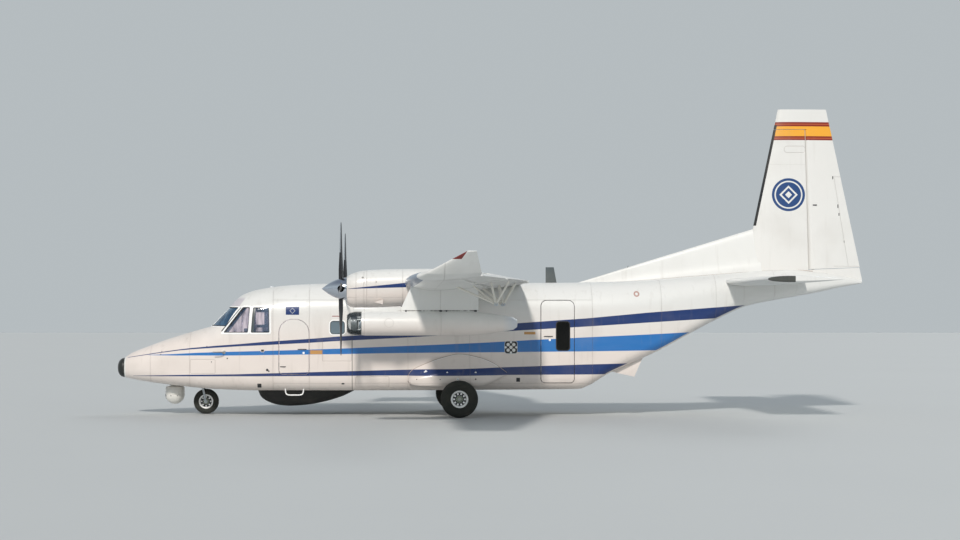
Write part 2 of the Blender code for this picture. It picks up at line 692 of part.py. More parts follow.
aft = fuselage_solid("aft", CABIN_END, TAIL_END)
combine(aft, fuselage_cavity)
ramp_outline = rounded(RAMP_FRONT, RAMP_REAR, -RAMP_HALF_WIDTH, RAMP_HALF_WIDTH, 0.08)
ramp_hole = rounded(RAMP_FRONT, RAMP_REAR, -RAMP_HALF_WIDTH, RAMP_HALF_WIDTH, 0.08, DOOR_CLEAR)
combine(aft, plate("ramp_hole", ramp_hole, 0.3, 2.2))
combine(aft, tailplane_cutter)
ramp = fuselage_solid("ramp", CABIN_END, TAIL_END)
combine(ramp, fuselage_cavity)
combine(ramp, plate("ramp_keep", ramp_outline, 0.3, 2.2), "INTERSECT")
ramp_hinge = Vector((RAMP_FRONT - KNUCKLE_OUT, 0.0, between(FUSELAGE, RAMP_FRONT)[1] + 0.010))
for y in (-0.45, 0.45):
    place = ramp_hinge + Y_AXIS * y
    combine(ramp, rod("ramp_knuckle", place - Y_AXIS * 0.08, place + Y_AXIS * 0.08, KNUCKLE_RADIUS), "UNION")
piece(ramp, "rear_ramp", WHITE, 0.4, 0.0, ramp_hinge)
for tag, side in SIDES:
    strake = side_plate("strake_" + tag, STRAKE, side * 0.86 - 0.012, side * 0.86 + 0.012)
    combine(aft, strake, "UNION")
piece(aft, "aft_fuselage", WHITE)

HINGE_SHARE = 0.620
FIN_TOP = 6.160
rudder_low = Vector((7.011, 0.0, 3.140))
rudder_high = Vector((6.889, 0.0, 6.170))
DORSAL = ((1.80, 2.50), (5.80, 2.90), (5.78, 4.155), (5.666, 4.010), (4.147, 3.544), (2.060, 2.910), (1.80, 2.835))
DORSAL_HALF = 0.060

fin = loft("fin", [fin_ring(z) for z in (2.90, 4.09, FIN_TOP)])
combine(fin, side_plate("dorsal", DORSAL, -DORSAL_HALF, DORSAL_HALF), "UNION")
combine(fin, fuselage_outer)
combine(fin, loft("fin_cavity", [[(x, y, z) for x, y in cavity_points(between(FIN, z))] for z in (2.90, 4.09, 5.80)]))
rudder_radii = (0.115, 0.062)
rudder, rudder_cutter = control_surface(
    "rudder", rudder_low, rudder_high, rudder_radii,
    (7.29 + 0.213 * (6.6 - rudder_low.z) - rudder_low.x, 7.29 + 0.213 * (6.6 - rudder_high.z) - rudder_high.x),
    Y_AXIS)
combine(fin, rudder_cutter)
horn = loft("horn", [fin_ring(z) for z in (FIN_TOP + 0.010, 6.60)])
combine(rudder, horn, "UNION")
piece(fin, "fin", WHITE)
piece(rudder, "rudder", WHITE, 0.4, 0.0, rudder_low)

tail = loft("tail", [tailplane_ring(y) for y in (-TAILPLANE_TIP, 0.0, TAILPLANE_TIP)])
ELEVATOR_SPAN = (0.800, 4.120)
tail_cavity = loft("tail_cavity", [[(x, y, TAILPLANE_Z + z) for x, z in cavity_points(between(TAILPLANE, abs(y)))]
                                   for y in (-4.0, 0.0, 4.0)])
combine(tail, tail_cavity)
combine(tail, box("tail_access", (5.30, -0.20, 2.60), (5.70, 0.20, TAILPLANE_Z)))
for tag, side in SIDES:
    ends = []
    for y in ELEVATOR_SPAN:
        x, _, half = on_chord(TAILPLANE, y, HINGE_SHARE)
        _, leading_edge, chord, _ratio = between(TAILPLANE, y)
        ends.append((Vector((x, side * y, TAILPLANE_Z)), half, leading_edge + chord - x))
    elevator, elevator_cutter = control_surface(
        "elevator_" + tag, ends[0][0], ends[1][0], (ends[0][1], ends[1][1]), (ends[0][2], ends[1][2]), Z_AXIS)
    combine(tail, elevator_cutter)
    piece(elevator, "elevator_" + tag, WHITE, 0.4, 0.0, ends[0][0])
piece(tail, "tailplane", WHITE)

# Wing with flaps and ailerons

FLAP_SHARE = 0.720
PIVOT_AFT = 0.240
PIVOT_DROP = 0.470
INNER_FLAP = (1.260, 3.060)
OUTER_FLAP = (3.220, 6.150)
AILERON = (6.330, 9.250)
BRACKETS = {"inner_flap": (1.90,), "outer_flap": (3.80, 5.60)}

wing_centre = loft("wing_centre", [wing_ring(y, s) for y, s in ((WING_KINK - GAP, -1), (0, 1), (WING_KINK - GAP, 1))])


def hinge_point(y, side):
    x, rise, half = on_chord(WING, y, FLAP_SHARE, WING_CAMBER)
    _, leading_edge, chord, _ratio = between(WING, y)
    return Vector((x, side * y, WING_Z + rise)), half, leading_edge + chord - x


def flap_bracket(y, side, along):
    """A fixed strut and a moving V of struts that meet at a pivot under the wing."""
    nose, _half, _length = hinge_point(y, side)
    aft = (X_AXIS - along * along.x).normalized()
    pivot = nose + pivot_offset(along)
    eye = along * 0.020

    def strut(name, foot, back, rise, radius):
        return rod(name, foot, foot + aft * back + Z_AXIS * rise, radius, sides=8)

    fixed = strut("strut", pivot, -0.82, PIVOT_DROP - 0.115, 0.018)
    combine(fixed, strut("strut_brace", pivot, -0.46, PIVOT_DROP - 0.100, 0.014), "UNION")
    combine(fixed, rod("strut_eye", pivot - eye, pivot + eye, 0.034), "UNION")
    centre = pivot + along * (0.040 + GAP)
    arm = rod("arm_eye", centre - eye, centre + eye, 0.034)
    for back, rise in ((-0.10, 0.44), (0.24, 0.42)):
        combine(arm, strut("arm_strut", centre, back, rise, 0.014), "UNION")
    return settle(fixed), settle(arm)


def pivot_offset(along):
    """From the flap's nose to its pivot, square to the hinge line."""
    aft = (X_AXIS - along * along.x).normalized()
    return aft * PIVOT_AFT - Z_AXIS * PIVOT_DROP


WINGLET = (
    # y, z, leading_edge, chord, thickness, lean
    (9.560, 2.810, -1.770, 1.020, 0.120, 15),
    (9.720, 2.855, -1.640, 0.900, 0.090, 35),
    (10.140, 3.194, -0.994, 0.150, 0.100, 40),
)


def winglet_ring(row, side):
    y, z, leading_edge, chord, ratio, lean = row
    lean = math.radians(lean)
    return [(x, side * (y - math.sin(lean) * offset), z + math.cos(lean) * offset)
            for x, offset in section((y, leading_edge, chord, ratio))]


for tag, side in SIDES:
    rings = [wing_ring(y, side) for y in (WING_KINK, WING_TIP)]
    rings += [winglet_ring(row, side) for row in WINGLET]
    outer_wing = loft("outer_wing_" + tag, rings)
    for kind, span, panel in (("inner_flap", INNER_FLAP, wing_centre), ("outer_flap", OUTER_FLAP, outer_wing),
                              ("aileron", AILERON, outer_wing)):
        (start, start_half, start_chord), (end, end_half, end_chord) = (hinge_point(y, side) for y in span)
        surface, surface_cutter = control_surface(
            kind, start, end, (start_half, end_half), (start_chord, end_chord), Z_AXIS, kind == "aileron")
        combine(panel, surface_cutter)
        along = (end - start).normalized()
        origin = start
        for y in BRACKETS.get(kind, ()):
            fixed, arm = flap_bracket(y, side, along)
            combine(panel, fixed, "UNION")
            combine(surface, arm, "UNION")
            origin = start + pivot_offset(along)
        piece(surface, kind + "_" + tag, WHITE, 0.4, 0.0, origin)
    piece(outer_wing, "outer_wing_" + tag, WHITE)

piece(wing_centre, "wing_centre", WHITE)

# Engine nacelles, engines and propellers

HUB_Y = 2.650
HUB_Z = 2.678
NACELLE = (
    # x, bottom, top, half_width
    (-3.062, 2.360, 2.925, 0.290),
    (-2.960, 2.300, 2.990, 0.335),
    (-2.700, 2.300, 3.050, 0.365),
    (-2.050, 2.320, 3.080, 0.370),
    (-1.500, 2.420, 3.085, 0.350),
    (-0.900, 2.560, 3.060, 0.260),
    (-0.450, 2.680, 2.960, 0.080),
)
HUB_X = -3.184
SPINNER_LENGTH = 0.506
SPINNER_BACK = HUB_X + 0.115
SPINNER_RADIUS = 0.2275
SHAFT_END = SPINNER_BACK + GAP


def nacelle_ring(x, centre_y, grow=0.0, steps=20):
    _, bottom, top, half_width = between(NACELLE, x)
    middle, half_height = (bottom + top) / 2, (top - bottom) / 2
    ring = []
    for step in range(steps):
        angle = math.tau * step / steps
        squash = (abs(math.cos(angle)) ** 2.6 + abs(math.sin(angle)) ** 2.6) ** (-1 / 2.6)
        ring.append((x, centre_y + (half_width + grow) * squash * math.cos(angle),
                     middle + (half_height + grow) * squash * math.sin(angle)))
    return ring


def blade(name, centre, turn):
    """One propeller blade from the spinner out, twisted along its length."""
    rings = []
    for radius, chord, thickness, pitch in (
            (0.12, 0.11, 0.080, 55), (0.28, 0.13, 0.052, 48), (0.55, 0.19, 0.032, 34),
            (0.95, 0.21, 0.020, 24), (1.25, 0.18, 0.014, 19), (1.350, 0.12, 0.010, 18)):
        angle = math.radians(pitch)
        ring = []
        for u, v in ((-0.5, 0), (-0.25, 0.42), (0.05, 0.5), (0.5, 0.08), (0.5, -0.08), (0.05, -0.5), (-0.25, -0.42)):
            across, thick = u * chord, v * thickness
            x = across * math.sin(angle) + thick * math.cos(angle)
            y = across * math.cos(angle) - thick * math.sin(angle)
            ring.append(Matrix.Rotation(turn, 3, "X") @ Vector((x, y, radius)) + centre)
        rings.append(ring)
    return loft(name, rings)


for tag, side in SIDES:
    centre_y = side * HUB_Y
    nacelle = loft("nacelle", [nacelle_ring(row[0], centre_y) for row in NACELLE])
    cavity = loft("nacelle_cavity", [nacelle_ring(x, centre_y, -0.035) for x in (-3.00, -2.70, -2.05, -1.60)])
    combine(nacelle, cavity)
    combine(nacelle, wing_cutter)
    combine(nacelle, box("intake", (-3.2, centre_y - 0.17, 2.395), (-2.95, centre_y + 0.17, 2.480)))
    combine(nacelle, rod("shaft_hole", (-3.2, centre_y, HUB_Z), (-2.9, centre_y, HUB_Z), 0.100, sides=20))
    inboard = centre_y - side * 0.20
    exhaust_front = Vector((-2.02, inboard, 2.440))
    exhaust_end = Vector((-1.640, inboard, 2.300))
    combine(nacelle, rod("exhaust", exhaust_front, exhaust_end, 0.095, sides=16), "UNION")
    combine(nacelle, rod("exhaust_bore", exhaust_front.lerp(exhaust_end, 0.45), exhaust_end.lerp(exhaust_front, -0.1),
                         0.082, sides=16))
    piece(nacelle, "nacelle_" + tag, WHITE)
    engine = box("engine", (-2.90, centre_y - 0.20, 2.48), (-1.96, centre_y + 0.20, 2.90))
    combine(engine, rod("gearbox", (-3.055, centre_y, HUB_Z), (-2.85, centre_y, HUB_Z), 0.100 - GAP, sides=20), "UNION")
    combine(engine, rod("shaft", (SHAFT_END, centre_y, HUB_Z), (-2.95, centre_y, HUB_Z), 0.060), "UNION")
    piece(engine, "engine_" + tag, GREY, 0.5, 0.5)
    hub = Vector((HUB_X, centre_y, HUB_Z))
    tip = SPINNER_BACK - HUB_X - SPINNER_LENGTH
    spinner_profile = [(tip, 0.0)]
    for share in (0.08, 0.25, 0.45, 0.65, 0.85, 1.0):
        spinner_profile.append((tip + SPINNER_LENGTH * share, SPINNER_RADIUS * math.sqrt(1 - (1 - share) ** 2)))
    spinner_profile.append((SPINNER_BACK - HUB_X, 0.0))
    spinner = turned("spinner", spinner_profile, hub, X_AXIS, 24)
    for quarter in range(4):
        combine(spinner, blade("blade", hub, quarter * math.pi / 2), "UNION")
    piece(spinner, "propeller_" + tag, METAL, 0.2, 0.9, hub)

# Underwing pods

POD = {"y": 4.500, "z": 1.986, "radius": 0.232}
POD_PROFILE = (
    (-2.753, 0.0), (-2.753, 0.226), (-2.700, 0.232), (-0.900, 0.232), (-0.450, 0.212),
    (-0.100, 0.165), (0.080, 0.130), (0.200, 0.105), (0.250, 0.070), (0.250, 0.0),
)
POD_FACE = -2.753
POD_DOME = ((0.0, 0.222), (-0.147, 0.222), (-0.232, 0.200), (-0.283, 0.150), (-0.283, 0.0))
POD_DOME_INNER = ((-0.275, 0.0), (-0.275, 0.146), (-0.227, 0.192), (-0.145, 0.213), (0.0, 0.213), (0.0, 0.222))
POD_LAMP = ((0.0, 0.0), (0.0, 0.110), (-0.050, 0.110), (-0.070, 0.165), (-0.190, 0.165), (-0.200, 0.150),
            (-0.150, 0.100), (-0.140, 0.0))
PYLON = ((-2.052, 2.150), (-0.503, 2.150), (-0.503, 2.700), (-1.800, 2.700))
SPINE = ((-2.930, 2.212), (-2.740, 2.212), (-2.740, 2.170), (-2.000, 2.170), (-2.000, 2.290), (-2.900, 2.290))
for tag, side in SIDES:
    centre_y = side * POD["y"]
    pod = turned("pod", POD_PROFILE, Vector((0.0, centre_y, POD["z"])), X_AXIS, 24)
    pylon = side_plate("pylon", PYLON, centre_y - 0.035, centre_y + 0.035)
    wing_grown = loft("wing_grown", [wing_ring(y, side, SEAT_GAP) for y in (WING_KINK, WING_TIP)])
    combine(pylon, wing_grown)
    combine(pod, settle(pylon), "UNION")
    combine(pod, side_plate("spine", SPINE, centre_y - 0.030, centre_y + 0.030), "UNION")
    piece(pod, "pod_" + tag, WHITE)
    face = Vector((POD_FACE - GAP, centre_y, POD["z"]))
    piece(turned("dome", POD_DOME + POD_DOME_INNER, face, X_AXIS, 24), "pod_nose_" + tag, METAL, 0.1, 0.3)
    piece(turned("lamp", POD_LAMP, face, X_AXIS, 24), "pod_lamp_" + tag, METAL, 0.2, 0.8)

# Sponsons and main landing gear

SPONSON = (
    # x, bottom, top, outer_y, upper_y
    (-1.808, 0.760, 0.840, 1.160, 1.140),
    (-1.740, 0.670, 0.960, 1.290, 1.150),
    (-1.500, 0.630, 1.090, 1.370, 1.160),
    (-1.100, 0.627, 1.240, 1.390, 1.180),
    (-0.720, 0.627, 1.320, 1.390, 1.190),
    (-0.300, 0.640, 1.250, 1.370, 1.180),
    (0.000, 0.740, 1.130, 1.290, 1.160),
    (0.290, 0.880, 0.930, 1.155, 1.140),
)
MAIN_WHEEL = Vector((-0.735, 1.550, 0.390))
for tag, side in SIDES:
    rings = []
    for x, bottom, top, outer_y, upper_y in SPONSON:
        middle = bottom + 0.45 * (top - bottom)
        profile = ((1.0, bottom), (outer_y - 0.10, bottom), (outer_y, bottom + 0.3 * (middle - bottom)),
                   (outer_y, middle), (upper_y, top), (1.0, top))
        rings.append([(x, side * y, z) for y, z in profile])
    sponson = loft("sponson", rings)
    combine(sponson, fuselage_outer)
    piece(sponson, "sponson_" + tag, WHITE)
    centre = Vector((MAIN_WHEEL.x, side * MAIN_WHEEL.y, MAIN_WHEEL.z))
    leg_top = Vector((centre.x, side * 1.28, 0.627 - GAP))
    leg_low = Vector((centre.x, side * 1.33, centre.z))
    leg = rod("leg", leg_top, leg_low, 0.050, sides=12)
    level = box("leg_trim", (-2, -3, 0.627 - GAP), (1, 3, 1.0))
    combine(leg, level)
    combine(leg, rod("axle", Vector((centre.x, side * 1.29, centre.z)), Vector((centre.x, side * 1.62, centre.z)), 0.032),
            "UNION")
    piece(leg, "main_gear_leg_" + tag, METAL, 0.35, 0.6)
    wheel("main_wheel_" + tag, centre, 0.390, 0.130, 0.200, 0.0325)

# Belly equipment

RADOME = (
    # x, depth, half_width
    (-5.030, 0.030, 0.120), (-4.980, 0.150, 0.320), (-4.850, 0.260, 0.470), (-4.600, 0.345, 0.580),
    (-4.350, 0.370, 0.620), (-4.000, 0.350, 0.600), (-3.600, 0.280, 0.520), (-3.200, 0.160, 0.380),
    (-2.930, 0.030, 0.150),
)
rings = []
for x, depth, half_width in RADOME:
    ring = []
    for step in range(13):
        angle = math.pi * step / 12
        ring.append((x, half_width * math.cos(angle), 0.56 - (depth + 0.015) * math.sin(angle)))
    rings.append(ring)
radome = loft("radome", rings)
combine(radome, fuselage_outer)
piece(radome, "belly_radome", DARK, 0.5)
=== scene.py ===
"""Looks of the twin-turboprop airliner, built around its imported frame."""
import json
from bisect import bisect_right
from functools import reduce
from math import copysign, cos, exp, pi, radians, sin, sqrt, tau

import bmesh
import bpy
from mathutils import Matrix, Vector

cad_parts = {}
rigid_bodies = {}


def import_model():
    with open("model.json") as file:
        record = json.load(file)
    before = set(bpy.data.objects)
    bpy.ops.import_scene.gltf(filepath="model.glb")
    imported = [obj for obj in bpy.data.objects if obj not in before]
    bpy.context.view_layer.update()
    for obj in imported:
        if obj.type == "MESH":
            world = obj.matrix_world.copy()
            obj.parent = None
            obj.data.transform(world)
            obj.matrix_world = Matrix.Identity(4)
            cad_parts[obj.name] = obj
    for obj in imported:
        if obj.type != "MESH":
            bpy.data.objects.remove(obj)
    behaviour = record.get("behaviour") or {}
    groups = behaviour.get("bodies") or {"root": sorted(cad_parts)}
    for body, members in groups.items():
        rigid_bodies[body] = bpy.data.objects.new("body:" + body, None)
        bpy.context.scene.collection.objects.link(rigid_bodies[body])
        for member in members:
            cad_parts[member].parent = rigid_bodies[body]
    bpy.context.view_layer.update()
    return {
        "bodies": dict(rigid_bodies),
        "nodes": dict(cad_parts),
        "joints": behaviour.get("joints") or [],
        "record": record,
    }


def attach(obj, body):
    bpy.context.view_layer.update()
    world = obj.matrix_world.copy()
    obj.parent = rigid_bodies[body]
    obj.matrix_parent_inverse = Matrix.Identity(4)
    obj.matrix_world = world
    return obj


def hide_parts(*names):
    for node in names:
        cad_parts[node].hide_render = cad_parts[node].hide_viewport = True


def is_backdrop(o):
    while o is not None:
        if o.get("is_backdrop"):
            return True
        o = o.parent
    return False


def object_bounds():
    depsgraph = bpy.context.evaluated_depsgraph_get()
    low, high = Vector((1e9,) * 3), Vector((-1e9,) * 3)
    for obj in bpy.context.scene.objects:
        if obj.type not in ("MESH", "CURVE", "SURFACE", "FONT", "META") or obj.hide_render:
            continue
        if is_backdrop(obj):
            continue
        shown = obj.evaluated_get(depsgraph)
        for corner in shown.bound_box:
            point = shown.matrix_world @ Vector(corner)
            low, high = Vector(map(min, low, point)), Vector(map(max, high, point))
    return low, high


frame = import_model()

SIDES = (("port", -1.0), ("starboard", 1.0))
X_AXIS = Vector((1.0, 0.0, 0.0))
Y_AXIS = Vector((0.0, 1.0, 0.0))
Z_AXIS = Vector((0.0, 0.0, 1.0))
CUTTERS = bpy.data.collections.new("cutters")
PIECES = bpy.data.collections.new("pieces")
bpy.context.scene.collection.children.link(PIECES)
bpy.context.scene.collection.children.link(CUTTERS)

# Camera, floor and lights

PHOTO_WIDTH = 960
PHOTO_HEIGHT = 540
SENSOR = 36.0
FOCAL_PIXELS = 1842.8
AXIS_PIXEL = (375.0, 312.4)
camera_data = bpy.data.cameras.new("camera")
camera_data.sensor_width = SENSOR
camera_data.lens = FOCAL_PIXELS / PHOTO_WIDTH * SENSOR
camera_data.shift_x = (PHOTO_WIDTH / 2 - AXIS_PIXEL[0]) / PHOTO_WIDTH
camera_data.shift_y = (AXIS_PIXEL[1] - PHOTO_HEIGHT / 2) / PHOTO_WIDTH
camera_data.clip_end = 500.0
camera = bpy.data.objects.new("camera", camera_data)
camera.location = (-2.495, -40.0, 2.2)
camera.rotation_euler = (radians(90), 0.0, 0.0)
bpy.context.scene.collection.objects.link(camera)
bpy.context.scene.camera = camera
bpy.context.scene.view_settings.view_transform = "Standard"


def even_light(name, turned_from, strength, spread_angle, colour=(1.0, 1.0, 1.0)):
    """Soft light of the same strength along the whole airframe."""
    data = bpy.data.lights.new(name, "SUN")
    data.energy = strength
    data.angle = radians(spread_angle)
    data.color = colour
    light = bpy.data.objects.new(name, data)
    light.location = Vector(turned_from) * 30.0
    light.rotation_euler = (-Vector(turned_from)).to_track_quat("-Z", "Y").to_euler()
    bpy.context.scene.collection.objects.link(light)


even_light("key_light", (-0.18, -0.8, 0.57), 2.4, 5.0, (1.0, 0.95, 0.895))
even_light("far_light", (0.45, 0.7, 0.55), 0.5, 30.0, (0.94, 0.98, 1.0))
world = bpy.data.worlds.new("studio")
world.use_nodes = True
sky = world.node_tree
height = sky.nodes.new("ShaderNodeSeparateXYZ")
fade = sky.nodes.new("ShaderNodeValToRGB")
fade.color_ramp.elements[0].position = 0.18
fade.color_ramp.elements[0].color = (0.465, 0.505, 0.525, 1.0)
fade.color_ramp.elements[1].position = 0.9
fade.color_ramp.elements[1].color = (0.22, 0.25, 0.3, 1.0)
for place, level in ((0.36, 0.62), (0.6, 0.46)):
    fade.color_ramp.elements.new(place).color = (0.91 * level, level, 1.05 * level, 1.0)
sky.links.new(sky.nodes.new("ShaderNodeTexCoord").outputs["Generated"], height.inputs[0])
sky.links.new(height.outputs["Z"], fade.inputs[0])
sky.links.new(fade.outputs[0], sky.nodes["Background"].inputs["Color"])
bpy.context.scene.world = world


# Finishes

def rgb(red, green, blue):
    """An 8-bit display colour as the linear colour that a shader takes."""
    def linear(value):
        value /= 255
        return value / 12.92 if value <= 0.04045 else ((value + 0.055) / 1.055) ** 2.4
    return (linear(red), linear(green), linear(blue), 1.0)


class Wire:
    """A socket in a finish; arithmetic on it adds Math nodes."""

    def __init__(self, finish, socket):
        self.finish = finish
        self.socket = socket

    def out(self, name):
        return Wire(self.finish, self.socket.node.outputs[name])

    def maths(self, operation, *others, clamp=False):
        return self.finish.node("Math", {"operation": operation, "use_clamp": clamp}, self, *others)

    def __add__(self, other):
        return self.maths("ADD", other)

    def __sub__(self, other):
        return self.maths("SUBTRACT", other)

    def __rsub__(self, other):
        return self.finish.node("Math", {"operation": "SUBTRACT"}, other, self)

    def __mul__(self, other):
        return self.maths("MULTIPLY", other)

    def __truediv__(self, other):
        return self.maths("DIVIDE", other)

    def __abs__(self):
        return self.maths("ABSOLUTE")

    def above(self, limit, soft=0.002):
        """1 where this is above a limit, with a soft edge."""
        return ((self - limit) / soft).maths("ADD", 0.5, clamp=True)

    def below(self, limit, soft=0.002):
        return (limit - self).maths("DIVIDE", soft).maths("ADD", 0.5, clamp=True)

    def within(self, low, high, soft=0.002):
        return self.above(low, soft) * self.below(high, soft)

    def most(self, other):
        return self.maths("MAXIMUM", other)

    def least(self, other):
        return self.maths("MINIMUM", other)

    __radd__ = __add__
    __rmul__ = __mul__


def together(masks):
    """1 where any of the masks is."""
    return reduce(Wire.most, masks)


class Finish:
    """A material whose expressions use its object's own place as x, y and z."""

    def __init__(self, name):
        self.material = bpy.data.materials.new(name)
        self.material.use_nodes = True
        self.tree = self.material.node_tree
        self.shader = self.tree.nodes["Principled BSDF"]
        coordinates = self.node("TexCoord")
        self.place = coordinates.out("Object")
        self.x, self.y, self.z = self.parts(self.place)
        self.facing = self.parts(coordinates.out("Normal"))

    def node(self, kind, settings=None, *values, **named):
        made = self.tree.nodes.new("ShaderNode" + kind)
        for key, value in (settings or {}).items():
            if key == "curve":
                points = made.mapping.curves[0].points
                while len(points) < len(value):
                    points.new(0.5, 0.5)
                for point, place in zip(points, value):
                    point.location = place
                    point.handle_type = "VECTOR"
                made.mapping.update()
            else:
                setattr(made, key, value)
        for place, value in [*enumerate(values), *named.items()]:
            if value is None:
                continue
            socket = made.inputs[place if isinstance(place, int) else place.replace("_", " ")]
            if isinstance(value, Wire):
                self.tree.links.new(value.socket, socket)
            else:
                socket.default_value = value
        return Wire(self, made.outputs[0])

    def parts(self, vector):
        split = self.node("SeparateXYZ", None, vector)
        return split.out("X"), split.out("Y"), split.out("Z")

    def mix(self, factor, first, second):
        made = self.node("Mix", {"data_type": "RGBA"}, factor, None, None, None, None, None, first, second)
        return Wire(self, made.socket.node.outputs[2])

    def stretched(self, stretch):
        return self.node("VectorMath", {"operation": "MULTIPLY"}, self.place, stretch)

    def noise(self, scale, detail=3.0, stretch=(1.0, 1.0, 1.0)):
        return self.node("TexNoise", None, Vector=self.stretched(stretch), Scale=scale, Detail=detail)

    def follow(self, value, points, value_range, result_range):
        """A value carried along straight lines through (value, result) points."""
        low, high = value_range
        bottom, top = result_range
        curve = [((v - low) / (high - low), (r - bottom) / (top - bottom)) for v, r in points]
        share = (value - low) / (high - low)
        return self.node("FloatCurve", {"curve": curve}, None, share) * (top - bottom) + bottom

    def near(self, value, places, half):
        """1 on thin lines at these places, falling to 0 at a half width."""
        lines = [1 - abs(value - place).maths("DIVIDE", half, clamp=True) for place in places]
        return together(lines)

    def rim_distance(self, box, radius):
        """The distance from a rectangle of (x, z) corners with round corners, below 0 inside."""
        x_low, z_low, x_high, z_high = box
        across = abs(self.x - (x_low + x_high) / 2) - ((x_high - x_low) / 2 - radius)
        up = abs(self.z - (z_low + z_high) / 2) - ((z_high - z_low) / 2 - radius)
        outside = (across.most(0.0) * across.most(0.0) + up.most(0.0) * up.most(0.0)).maths("SQRT")
        return outside + across.most(up).least(0.0) - radius

    def outline(self, box, radius, half):
        return 1 - abs(self.rim_distance(box, radius)).maths("DIVIDE", half, clamp=True)

    def disc(self, centre, radius, soft=0.004):
        across, up = self.x - centre[0], self.z - centre[1]
        return (across * across + up * up).maths("SQRT").below(radius, soft)

    def done(self, colour, roughness=0.4, metallic=0.0, height=None, depth=0.002, **numbers):
        """Join what varies to the shader and set what doesn't on its own sockets."""
        for name, value in {"Base Color": colour, "Roughness": roughness, "Metallic": metallic}.items():
            if isinstance(value, Wire):
                self.tree.links.new(value.socket, self.shader.inputs[name])
            else:
                self.shader.inputs[name].default_value = value
        for name, value in numbers.items():
            self.shader.inputs[name.replace("_", " ")].default_value = value
        if height is not None:
            bump = self.node("Bump", None, Strength=1.0, Distance=depth, Height=height)
            self.tree.links.new(bump.socket, self.shader.inputs["Normal"])
        return self.material


WHITE = rgb(227, 227, 224)
# WARM_WHITE is also the warm ground-bounce light painted on lower surfaces.
WARM_WHITE = rgb(229, 219, 212)
GRIME = rgb(150, 140, 125)
NAVY = rgb(6, 46, 106)
SKY_BLUE = rgb(30, 112, 184)
SEAM = rgb(128, 112, 100)
ORANGE = rgb(196, 146, 84)
BAND_RED = rgb(136, 30, 12)
BAND_YELLOW = rgb(242, 172, 50)
EMBLEM_BLUE = rgb(30, 68, 122)


def aged(finish, base, seams=None, shade=0.22, streak=0.16):
    """Paint with blotches, streaks running down, darkened seams and slight unevenness."""
    blotch = finish.noise(0.9, 5.0)
    streaks = finish.noise(9.0, 4.0, (1.0, 1.0, 0.1))
    fine = finish.noise(46.0, 3.0)
    worn = (blotch - 0.52).maths("MULTIPLY", 4.0, clamp=True) * shade + (streaks - 0.58).maths("MULTIPLY",
        5.0, clamp=True) * streak
    colour = finish.mix(worn, base, GRIME)
    height = fine * 0.05 + blotch * 0.8
    if seams is not None:
        colour = finish.mix(seams * 0.32, colour, SEAM)
        height = height - seams * 1.2
    roughness = 0.24 + blotch * 0.16 + worn * 0.5
    return finish.done(colour, roughness, height=height, depth=0.004, Coat_Weight=0.25, Coat_Roughness=0.12)


STRIPES = (
    # colour, points of (x, low z, high z)
    (NAVY, ((-7.9, 1.212, 1.222), (-7.2, 1.318, 1.334), (-6.667, 1.39, 1.412), (-6.404, 1.414, 1.444),
            (-5.883, 1.452, 1.492), (-5.368, 1.484, 1.53), (-4.858, 1.507, 1.576), (-4.351, 1.534, 1.611),
            (-3.845, 1.56, 1.644), (-3.338, 1.593, 1.686), (-2.832, 1.618, 1.718), (-1.82, 1.671, 1.8),
            (0.71, 1.829, 1.986), (1.976, 1.902, 2.075), (3.25, 1.984, 2.193), (4.285, 2.048, 2.272),
            (5.6, 2.12, 2.37))),
    (SKY_BLUE, ((-7.35, 1.285, 1.29), (-6.822, 1.28, 1.311), (-6.295, 1.286, 1.342),
    (-5.776, 1.286, 1.361),
                (-5.262, 1.292, 1.376), (-4.246, 1.308, 1.403), (-3.233, 1.32, 1.437),
                (-2.221, 1.34, 1.478),
                (-1.209, 1.352, 1.517), (-0.196, 1.358, 1.561), (0.816, 1.368, 1.618),
                (1.828, 1.376, 1.668),
                (3.27, 1.396, 1.734), (4.6, 1.41, 1.8))),
    (NAVY, ((-7.7, 0.833, 0.839), (-7.044, 0.836, 0.858), (-6.513, 0.841, 0.872), (-5.475, 0.848, 0.892),
            (-4.457, 0.854, 0.922), (-3.444, 0.86, 0.95), (-2.432, 0.868, 0.978), (-1.42, 0.868, 1.003),
            (-0.66, 0.871, 1.013), (0.605, 0.884, 1.056), (1.87, 0.89, 1.1), (3.2, 0.9, 1.132))),
)
STRIPE_REACH = (-8.0, 6.0)
STRIPE_HEIGHTS = (0.5, 2.6)


def striped(finish, colour):
    """The three bands along the fuselage's sides, on faces that look sideways."""
    side = abs(finish.facing[1]).above(0.5, 0.08)
    for band, points in STRIPES:
        low = finish.follow(finish.x, [(x, z) for x, z, _ in points], STRIPE_REACH, STRIPE_HEIGHTS)
        high = finish.follow(finish.x, [(x, z) for x, _, z in points], STRIPE_REACH, STRIPE_HEIGHTS)
        reach = finish.x.within(points[0][0], points[-1][0], 0.004)
        chalk = finish.noise(3.0, 4.0, (0.4, 1.0, 2.0))
        tone = finish.mix((chalk - 0.35).maths("MULTIPLY", 1.1, clamp=True) * 0.14, band,
            tuple(0.6 * c + 0.3 for c in band[:3]) + (1.0,))
        colour = finish.mix(finish.z.within(low, high, 0.004) * side * reach, colour, tone)
    return colour


HOOP_SEAMS = (-7.305, -6.438, -4.647, -3.88, -1.8, -0.5, 2.09, 3.56, 4.75, 6.05)
LEVEL_SEAMS = (0.7, 2.462)
CABIN_JOINT = -2.976
RIVET_PITCH = 0.05


